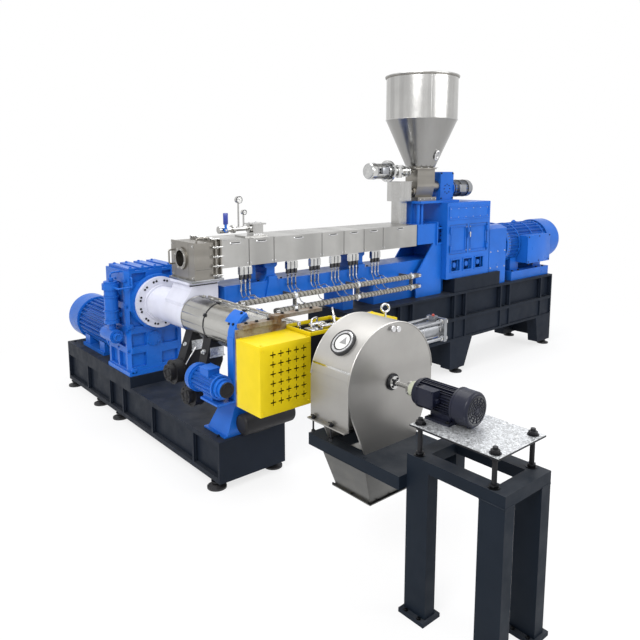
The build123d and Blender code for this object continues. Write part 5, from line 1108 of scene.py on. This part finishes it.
def cooling_detail():
    """Coils, bent lines down to the manifolds, their unions, and the manifolds' wrap and clamps."""
    lines, coils, unions, wrap, clamps = (bmesh.new() for _ in range(5))
    rows = (0.460, 0.980, 1.263, 1.528, 1.775, 2.093)
    xs = [row + shift for row in rows for shift in (-0.046, 0, 0.046)]
    for i, x in enumerate(xs):
        sway = 0.018 * sin(2.4 * i)
        valve = at(x, -0.172, 1.336)
        end = at(x + sway, MANIFOLD_Y, LOW_PIPE_Z if i % 2 and x > 0.67 else TOP_PIPE_Z)
        tube(lines, [valve + Z * 0.03, valve - Z * 0.005, at(sway * 0.3, -0.030, -0.045, valve),
                     at(0, 0.060, 0.050, end), at(0, 0.012, 0.030, end), end + Z * 0.010], 0.0045, 8, 3)
        slab(coils, at(-0.0135, -0.0135, 0.110, valve), at(0.0135, 0.0135, 0.153, valve), 0.002)
        drum(unions, end + Z * 0.018, at(0, 0.002, 0.036, end), 0.0105, 6)
        for bottom, top in ((0.002, 0.020), (0.086, 0.100)):
            drum(unions, valve + Z * bottom, valve + Z * top, 0.0105, 6)
    for start, z in ((0.300, TOP_PIPE_Z), (0.675, LOW_PIPE_Z)):
        near, far = at(start, MANIFOLD_Y, z), at(2.640, MANIFOLD_Y, z)
        drum(unions, near + X * 0.040, near + X * 0.002, 0.0285, 6)
        drum(unions, far - X * 0.040, far - X * 0.002, 0.0285, 6)
        wound_tape(wrap, near + X * 0.050, 2.540 - start)
    for spot in grid(ORIGIN, (0.9, 1.7, 2.5), MANIFOLD_Y, (TOP_PIPE_Z, LOW_PIPE_Z)):
        band(clamps, spot, X, 0.0245, 0.0315, 0.030, 32)
        bolts(clamps, grid(spot, 0, -0.004, (-0.033, 0.033)), -Y, 0.006)
    add_piece("cooling_lines", lines, GREY_MOTOR)
    add_piece("valve_coils", coils, COIL)
    add_piece("cooling_unions", unions, CHROME)
    add_piece("manifold_wrap", wrap, HOSE_BRAID)
    add_piece("manifold_clamps", clamps, ZINC)


def gauge_detail():
    """Dials, rims, ticks and needles of the vent's two gauges."""
    dial, rims, marks = bmesh.new(), bmesh.new(), bmesh.new()
    for x, z, radius in ((0.486, 2.143, 0.031), (0.540, 2.030, 0.022)):
        face = at(x, -0.062, z)
        drum(dial, face + Y * 0.002, face - Y * 0.0012, radius - 0.004, 40)
        turned(rims, face, -Y, [(radius - 0.004, -0.003), (radius + 0.001, -0.003), (radius + 0.001, 0.002),
                                (radius - 0.002, 0.004), (radius - 0.004, 0.003)], 48)
        for i in range(11):
            slab(marks, at(-0.0006, -0.0018, radius * 0.62, face), at(0.0006, -0.001, radius * 0.80, face),
                 turn=about(face, radians(-135 + 27 * i), "Y"))
        slab(marks, at(-0.0009, -0.0024, -radius * 0.18, face), at(0.0009, -0.0014, radius * 0.66, face),
             turn=about(face, radians(-80), "Y"))
        drum(marks, face - Y * 0.001, face - Y * 0.0035, radius * 0.09, 16)
    add_piece("gauge_dials", dial, DIAL)
    add_piece("gauge_rims", rims, DARK)
    add_piece("gauge_needles", marks, DARK)


def vent_detail():
    """Lid and side bolts of the vent, and the lever's sleeve and nut."""
    screws = bolts(bmesh.new(), grid(ORIGIN, (0.622, 0.698), (-0.078, -0.002), 1.928), Z, 0.007)
    bolts(screws, grid(ORIGIN, (0.622, 0.647, 0.672, 0.697), -0.090, 1.826), -Y, 0.0055)
    add_piece("vent_bolts", screws, CHROME)
    low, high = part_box("valve_lever")
    sleeve = slab(bmesh.new(), (low.x - 0.0025, low.y - 0.0025, high.z - 0.098),
                  (high.x + 0.0025, high.y + 0.0025, high.z + 0.002), 0.003)
    add_piece("lever_sleeve", sleeve, HANDLE_BLUE, "vent_lever")
    nut = bolt(bmesh.new(), ((low.x + high.x) / 2, low.y, 1.884), -Y, 0.008)
    add_piece("lever_nut", nut, CHROME, "vent_lever")


def beam_detail():
    """Bolts of the beam's pedestals and of the torque box, and the beam's weld beads."""
    bm = bmesh.new()
    for x in (0.770, 1.905):
        bolts(bm, grid(at(x, 0, 1.400), (-0.13, 0.13), (-0.115, 0.115), 0), Z, 0.010)
    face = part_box("torque_box")[1].x - 0.016
    bolts(bm, product((face,), (UPPER_Y - 0.208, UPPER_Y + 0.208), (1.61, 1.66, 1.71, 1.76)), -X, 0.007)
    add_piece("beam_bolts", bm, OXIDE)
    start, end = ends(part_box("barrel_beam")[0].x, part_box("barrel_beam")[1].x, 0.010)
    seam = bmesh.new()
    for y, z in product((UPPER_Y - 0.150, UPPER_Y + 0.150), (1.252, 1.388)):
        slab(seam, (start, y - 0.002, z - 0.003), (end, y + 0.002, z + 0.003), 0.0015)
    add_piece("beam_welds", seam, BLUE)


def front_frame_strips(bm, xs, zs, depth, inside, outside, soft=0.0):
    """Four strips round a rectangle on the cabinet's front, between two depths."""
    for z in ((zs[0] - outside, zs[0] + inside), (zs[1] - inside, zs[1] + outside)):
        slab(bm, at(xs[0], depth[0], z[0]), at(xs[1], depth[1], z[1]), soft)
    for x in ((xs[0] - outside, xs[0] + inside), (xs[1] - inside, xs[1] + outside)):
        slab(bm, at(x[0], depth[0], zs[0]), at(x[1], depth[1], zs[1]), soft)


def cabinet_front():
    """Ribs and drums behind the windows, the cabinet's rounded edges, and dark strips of painted shade in the
    gaps round its doors.
    """
    ribs = bmesh.new()
    for window in grid(ORIGIN, (3.303, 3.532, 3.761), CABINET_FRONT, 1.305):
        drum(ribs, window + Y * 0.030, window + Y * 0.012, 0.034, 32, tip=0.030)
        for x in (-0.058, 0.058):
            slab(ribs, at(x - 0.004, 0.012, -0.059, window), at(x + 0.004, 0.030, 0.059, window), 0.002)
        bolt_circle(ribs, window + Y * 0.014, -Y, 0.0225, 6, 0.0035)
    add_piece("cabinet_window_drums", ribs, BLUE)
    edge = CABINET_FRONT + 0.002
    beads = tube(bmesh.new(), [at(x, edge, 2.030) for x in (3.1395, 3.545, 3.9605)], 0.0035, 8, 1)
    for x in (3.1395, 3.9605):
        bead(beads, at(x, edge, 1.156), at(x, edge, 2.030), 0.0030, 8)
    add_piece("cabinet_edge_beads", beads, BLUE)
    # painted shade: thin dark rubber strips round each door stand for the shade in the door gaps
    seals = bmesh.new()
    depth = (CABINET_FRONT - 0.001, CABINET_FRONT + 0.001)
    for xs in ((3.187, 3.514), (3.556, 3.910)):
        front_frame_strips(seals, xs, (1.436, 1.780), depth, 0.0025, 0.0)
    add_piece("cabinet_door_gap_shade", seals, RUBBER)


def cabinet_screws():
    """Panel screws and lock handle of the cabinet."""
    screws = bmesh.new()
    for spot in grid(ORIGIN, [3.196 + i * 0.1405 for i in range(6)], CABINET_FRONT, (1.866, 1.964)):
        drum(screws, spot + Y * 0.001, spot - Y * 0.0035, 0.0055, 16, tip=0.0045)
    lock = at(3.535, CABINET_FRONT, 1.672)
    drum(screws, lock - Y * 0.001, lock - Y * 0.030, 0.011, 20)
    slab(screws, at(-0.009, -0.036, -0.048, lock), at(0.009, -0.026, 0.016, lock), 0.004)
    bolts(screws, grid(lock, 0, -0.001, (-0.050, 0.050)), -Y, 0.0045)
    add_piece("cabinet_screws", screws, CHROME)


def door_detail():
    """Hinge caps, screws and the pressed frame that swing with each door."""
    face = CABINET_FRONT + 0.001
    for body, hinge_x, screw_x, xs in (("door_left", 3.189, 3.500, (3.217, 3.484)),
                                       ("door_right", 3.908, 3.572, (3.586, 3.880))):
        trim = bmesh.new()
        for spot in grid(ORIGIN, hinge_x, -0.304, (1.500, 1.716)):
            for way in (-Z, Z):
                drum(trim, spot + way * 0.020, spot + way * 0.026, 0.0075, 16, soft=0.001)
        bolts(trim, grid(ORIGIN, screw_x, face, (1.470, 1.746)), -Y, 0.0045)
        add_piece(body + "_trim", trim, CHROME, body)
        pressing = bmesh.new()
        front_frame_strips(pressing, xs, (1.466, 1.750), (face - 0.0022, face + 0.001), 0.003, 0.003, 0.0012)
        add_piece(body + "_pressing", pressing, BLUE, body)


def guard_detail():
    """Screws of the coupling guard."""
    low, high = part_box("coupling_guard")
    xs = (low.x + 0.03, (low.x + high.x) / 2, high.x - 0.03)
    add_piece("guard_bolts", bolts(bmesh.new(), product(xs, (low.y,), (1.20, 1.40)), -Y, 0.007), CHROME)


def main_motor_detail():
    """Vent slots, flange and foot bolts, bands, terminal lid, lifting eye, cowl vents and fins."""
    axis = at(0, 0, 1.446)
    # painted shade: thin dark blocks stand for the shade inside the vent slots
    slots = slab_ring(bmesh.new(), axis, "X", 44, (4.428, -0.0055, 0.266), (4.472, 0.0055, 0.2712))
    band(slots, axis + X * 5.3715, X, 0.258, 0.2645, 0.010, 64)
    add_piece("main_motor_slots", slots, DARK)
    bm = bolt_circle(bmesh.new(), axis + X * 4.384, -X, 0.262, 16, 0.0095, 11.25)
    bolts(bm, grid(ORIGIN, (4.560, 4.700, 5.140, 5.300), (-0.250, 0.250), 1.100), Z, 0.013)
    add_piece("main_motor_bolts", bm, OXIDE)
    shell = slab(bmesh.new(), at(4.728, -0.362, 1.193), at(5.277, -0.351, 1.564), 0.004)
    for x in (4.700, 5.020, 5.300):
        band(shell, axis + X * x, X, 0.250, 0.2655, 0.012, 64)
    eye = at(4.942, 0, 0.256, axis)
    drum(shell, eye, eye + Z * 0.022, 0.032, 24, soft=0.003)
    drum(shell, eye + Z * 0.020, eye + Z * 0.034, 0.018, 6)
    slab_ring(shell, axis, "X", 28, (5.715, -0.003, 0.060), (5.7178, 0.003, 0.205))
    add_piece("main_motor_trim", shell, BLUE)
    thin_fins("main_motor_fins", axis + X * 4.485, axis + X * 5.350, 0.215, 0.2585, 56, BLUE)
    lid = bolts(bmesh.new(), grid(ORIGIN, (4.752, 5.002, 5.253), -0.362, (1.215, 1.541)), -Y, 0.007)
    slab(lid, at(4.733, -0.3525, 1.197), at(5.272, -0.3505, 1.560))
    for gland in grid(ORIGIN, (4.84, 4.93), -0.310, 1.202):
        drum(lid, gland, gland - Z * 0.026, 0.019, 6, soft=0.001)
        drum(lid, gland - Z * 0.022, gland - Z * 0.042, 0.014, 20, tip=0.010)
    add_piece("terminal_lid_bolts", lid, IRON)


def feeder_drive_detail():
    """Bands, bolts and the finned motor of the feeder's drive."""
    axis = at(0, 0, 2.188)
    dark = bolts(bmesh.new(), grid(ORIGIN, (3.275, 3.484), -0.080, (2.078, 2.368)), -Y, 0.008)
    for x in (3.520, 3.640, 3.776):
        band(dark, axis + X * x, X, 0.080, 0.1035, 0.009)
    bolt_circle(dark, at(3.380, -0.080, 0, axis), -Y, 0.052, 8, 0.0055)
    add_piece("feeder_drive_bolts", dark, OXIDE)
    start = axis + X * 3.505
    motor = turned(bmesh.new(), start, X, [(0, 0.0), (0.0995, 0.0), (0.0995, 0.020), (0.090, 0.024),
                                           (0.090, 0.266), (0.1015, 0.270), (0.1015, 0.345), (0.092, 0.364),
                                           (0, 0.3645)], 48)
    slab_ring(motor, start, "X", 30, (0.026, -0.0025, 0.080), (0.264, 0.0025, 0.1012))
    slab(motor, at(0.070, -0.128, -0.045, start), at(0.190, -0.080, 0.045, start), 0.006)
    add_piece("feeder_motor", motor, GREY_MOTOR)


def agitator_detail():
    """Clamp rings and bolts of the agitator's drive, and its motor's bands, box and fan rings."""
    axis = at(0, 0, 2.392)
    rings = bmesh.new()
    for x in (2.525, 2.574, 2.696, 2.754):
        band(rings, axis + X * x, X, 0.052, 0.0615, 0.005, 40)
        bolt_circle(rings, axis + X * (x + 0.008), X, 0.050, 6, 0.0045)
    bolt_circle(rings, axis + X * 2.458, X, 0.106, 12, 0.0055)
    bolt_circle(rings, axis + X * 2.434, -X, 0.104, 6, 0.0065, 30)
    bolt_circle(rings, at(2.627, 0, 2.458), Z, 0.040, 6, 0.0045)
    add_piece("agitator_rings", rings, CHROME)
    motor = slab(bmesh.new(), at(2.262, -0.112, -0.030, axis), at(2.352, -0.078, 0.040, axis), 0.006)
    for x in (2.222, 2.398):
        band(motor, axis + X * x, X, 0.070, 0.0895, 0.007)
    for radius in (0.026, 0.042, 0.058, 0.072):
        hoop(motor, axis + X * 2.147, X, radius, 0.0022, 32, 6)
    add_piece("agitator_motor_trim", motor, GREY_MOTOR)


def feeder_bolts():
    """Bolts of the feed chute's box, the feeder's body and the hopper's flange."""
    bm = bolt_circle(bmesh.new(), at(HOPPER_X, 0, HOPPER_NECK[1]), Z, 0.195, 16, 0.0065)
    for side in (-1, 1):
        bolts(bm, grid(ORIGIN, (2.552, 2.728), side * 0.090, (2.086, 2.256)), Y * side, 0.0055)
    bolts(bm, grid(ORIGIN, (2.858, 2.926, 3.054, 3.122), (-0.118, 0.118), 2.076), Z, 0.007)
    add_piece("feeder_bolts", bm, CHROME)


def hopper_detail():
    """Round seam, upright seam, rolled rim and the oval sight glass of the hopper."""
    centre = at(HOPPER_X, 0, 0)
    weld = hoop(bmesh.new(), centre + Z * HOPPER_SEAM[1], Z, 0.4005, 0.0035, 96, 8)
    seam = at(0.4003 * cos(radians(235)), 0.4003 * sin(radians(235)), 0, centre)
    bead(weld, seam + Z * 2.966, seam + Z * 3.430, 0.0022, 8)
    add_piece("hopper_welds", weld, SHEET_Z)
    # the rolled rim is real; its darker sheet colour is painted shade beneath the rim
    rim = hoop(bmesh.new(), centre + Z * 3.4245, Z, 0.4045, 0.0075, 96, 10)
    add_piece("hopper_rim_fold", rim, DULL_SHEET)
    slope = atan((HOPPER_SEAM[0] - HOPPER_NECK[0]) / (HOPPER_SEAM[1] - HOPPER_NECK[1]))
    out = Vector((0, -cos(slope), -sin(slope)))
    window = (Matrix.Translation(at(0, -0.231, 2.570, centre)) @ towards(out)
              @ Matrix.Diagonal((0.58, 1, 1, 1)))
    ring = [(0.040, -0.004), (0.058, -0.004), (0.058, 0.010), (0.054, 0.013), (0.043, 0.013), (0.040, 0.010)]
    for name, bm, mat in (("hopper_sight_frame", turned(bmesh.new(), (0, 0, 0), Z, ring, 48), CHROME),
                          ("hopper_sight_pane", drum(bmesh.new(), -Z * 0.003, Z * 0.007, 0.041, 40), GLASS)):
        bmesh.ops.transform(bm, matrix=window, verts=bm.verts)
        add_piece(name, bm, mat)


# Fine detail, piece by piece

for detail in (flange_bolts, feed_block_detail, gearbox_fittings, oil_fittings, lower_motor_detail,
               lower_cover_detail, yoke_bolts, duct_collars, blower_detail, foot_nuts, base_detail,
               slide_guards, clamp_bolts, tray_detail, guard_fittings, cylinder_detail, hood_edges,
               sight_glass, hood_fittings, rotor_detail, cutter_motor_detail, plate_detail, table_detail,
               discharge_detail, cover_detail, cooling_detail, gauge_detail, vent_detail, beam_detail,
               cabinet_front, cabinet_screws, door_detail, guard_detail, main_motor_detail,
               feeder_drive_detail, agitator_detail, feeder_bolts, hopper_detail):
    detail()


# Studio, camera and lights

# The photo's width, and the focal length and shift solved from it, in its pixels
PHOTO_WIDTH = 640.0
FOCAL_LENGTH = 628.0
LENS_SHIFT = -60.0


def seen_directly(f):
    """1 for camera rays and for what metal and glass show, 0 for the light that falls on the object."""
    path = f.tree.nodes.new("ShaderNodeLightPath")
    either = path.outputs["Is Camera Ray"]
    for kind in ("Is Glossy Ray", "Is Transmission Ray"):
        either = f.math("MAXIMUM", either, path.outputs[kind])
    return either


def studio_floor():
    """White floor that keeps a faint shadow and fades into the background."""
    f = material("studio_floor")
    tone = f.ramp(f.noise(0.6, 3.0), (0.3, (0.88, 0.88, 0.89)), (0.7, (0.92, 0.92, 0.92)))
    f.done(Base_Color=tone, Roughness=0.85)
    reach = f.node("VectorMath", "Value", {0: f.place}, operation="LENGTH")
    fade = f.times(seen_directly(f), f.remap(reach, 0.72, 1.0, 2.5, 5.5))
    glow = f.node("Emission", "Emission", {"Color": FULL, "Strength": 1.0})
    blend = f.node("MixShader", "Shader", {0: fade, 1: f.shader.outputs["BSDF"], 2: glow})
    f.plug(f.tree.nodes["Material Output"].inputs["Surface"], blend)
    bm = bmesh.new()
    bmesh.ops.create_grid(bm, x_segments=1, y_segments=1, size=60.0)
    floor = new_object("studio_floor", bm, f.owner)
    floor.location.z = -0.001


def studio_world():
    """Grey surroundings for the light, and white where they are seen."""
    world = bpy.data.worlds.new("studio")
    bpy.context.scene.world = world
    f = Finish(world, "Background")
    height = f.remap(f.height(f.node("TexCoord", "Generated", {})), 0.0, 1.0, -1.0, 1.0)
    sky = f.ramp(height, (0.0, (0.5, 0.5, 0.5)), (0.49, (0.34, 0.34, 0.35)), (0.56, (0.72, 0.72, 0.74)),
                 (1.0, (0.92, 0.92, 0.93)))
    f.done(Color=f.layer(seen_directly(f), sky, FULL), Strength=1.0)


def soft_lamp(name, place, aim, size, power):
    data = bpy.data.lights.new(name, "AREA")
    data.shape = "RECTANGLE"
    data.size, data.size_y = size
    data.energy = power
    lamp = bpy.data.objects.new(name, data)
    lamp.location = place
    lamp.rotation_euler = (aim - place).to_track_quat("-Z", "Y").to_euler()
    bpy.context.collection.objects.link(lamp)


def studio_camera():
    """Camera at the photo's place and angle."""
    data = bpy.data.cameras.new("photo_view")
    data.sensor_width = 36.0
    data.lens = FOCAL_LENGTH / PHOTO_WIDTH * data.sensor_width
    data.shift_y = LENS_SHIFT / PHOTO_WIDTH
    data.clip_end = 200.0
    camera = bpy.data.objects.new("photo_view", data)
    camera.location = at(-2.6, -4.78, 2.4)
    camera.rotation_euler = (radians(90 - 8.107), 0.0, radians(-40.477))
    bpy.context.collection.objects.link(camera)
    bpy.context.scene.camera = camera


studio_floor()
studio_world()
soft_lamp("key_lamp", at(-5.5, -4.0, 6.5), at(1.5, -0.6, 1.2), (4.0, 3.0), 420.0)
soft_lamp("fill_lamp", at(4.5, -7.5, 5.0), at(2.0, -0.6, 1.0), (5.0, 3.0), 260.0)
soft_lamp("top_lamp", at(1.5, 0.5, 7.5), at(1.5, -0.4, 0.8), (6.0, 4.0), 240.0)
studio_camera()
bpy.context.scene.view_settings.view_transform = "Standard"
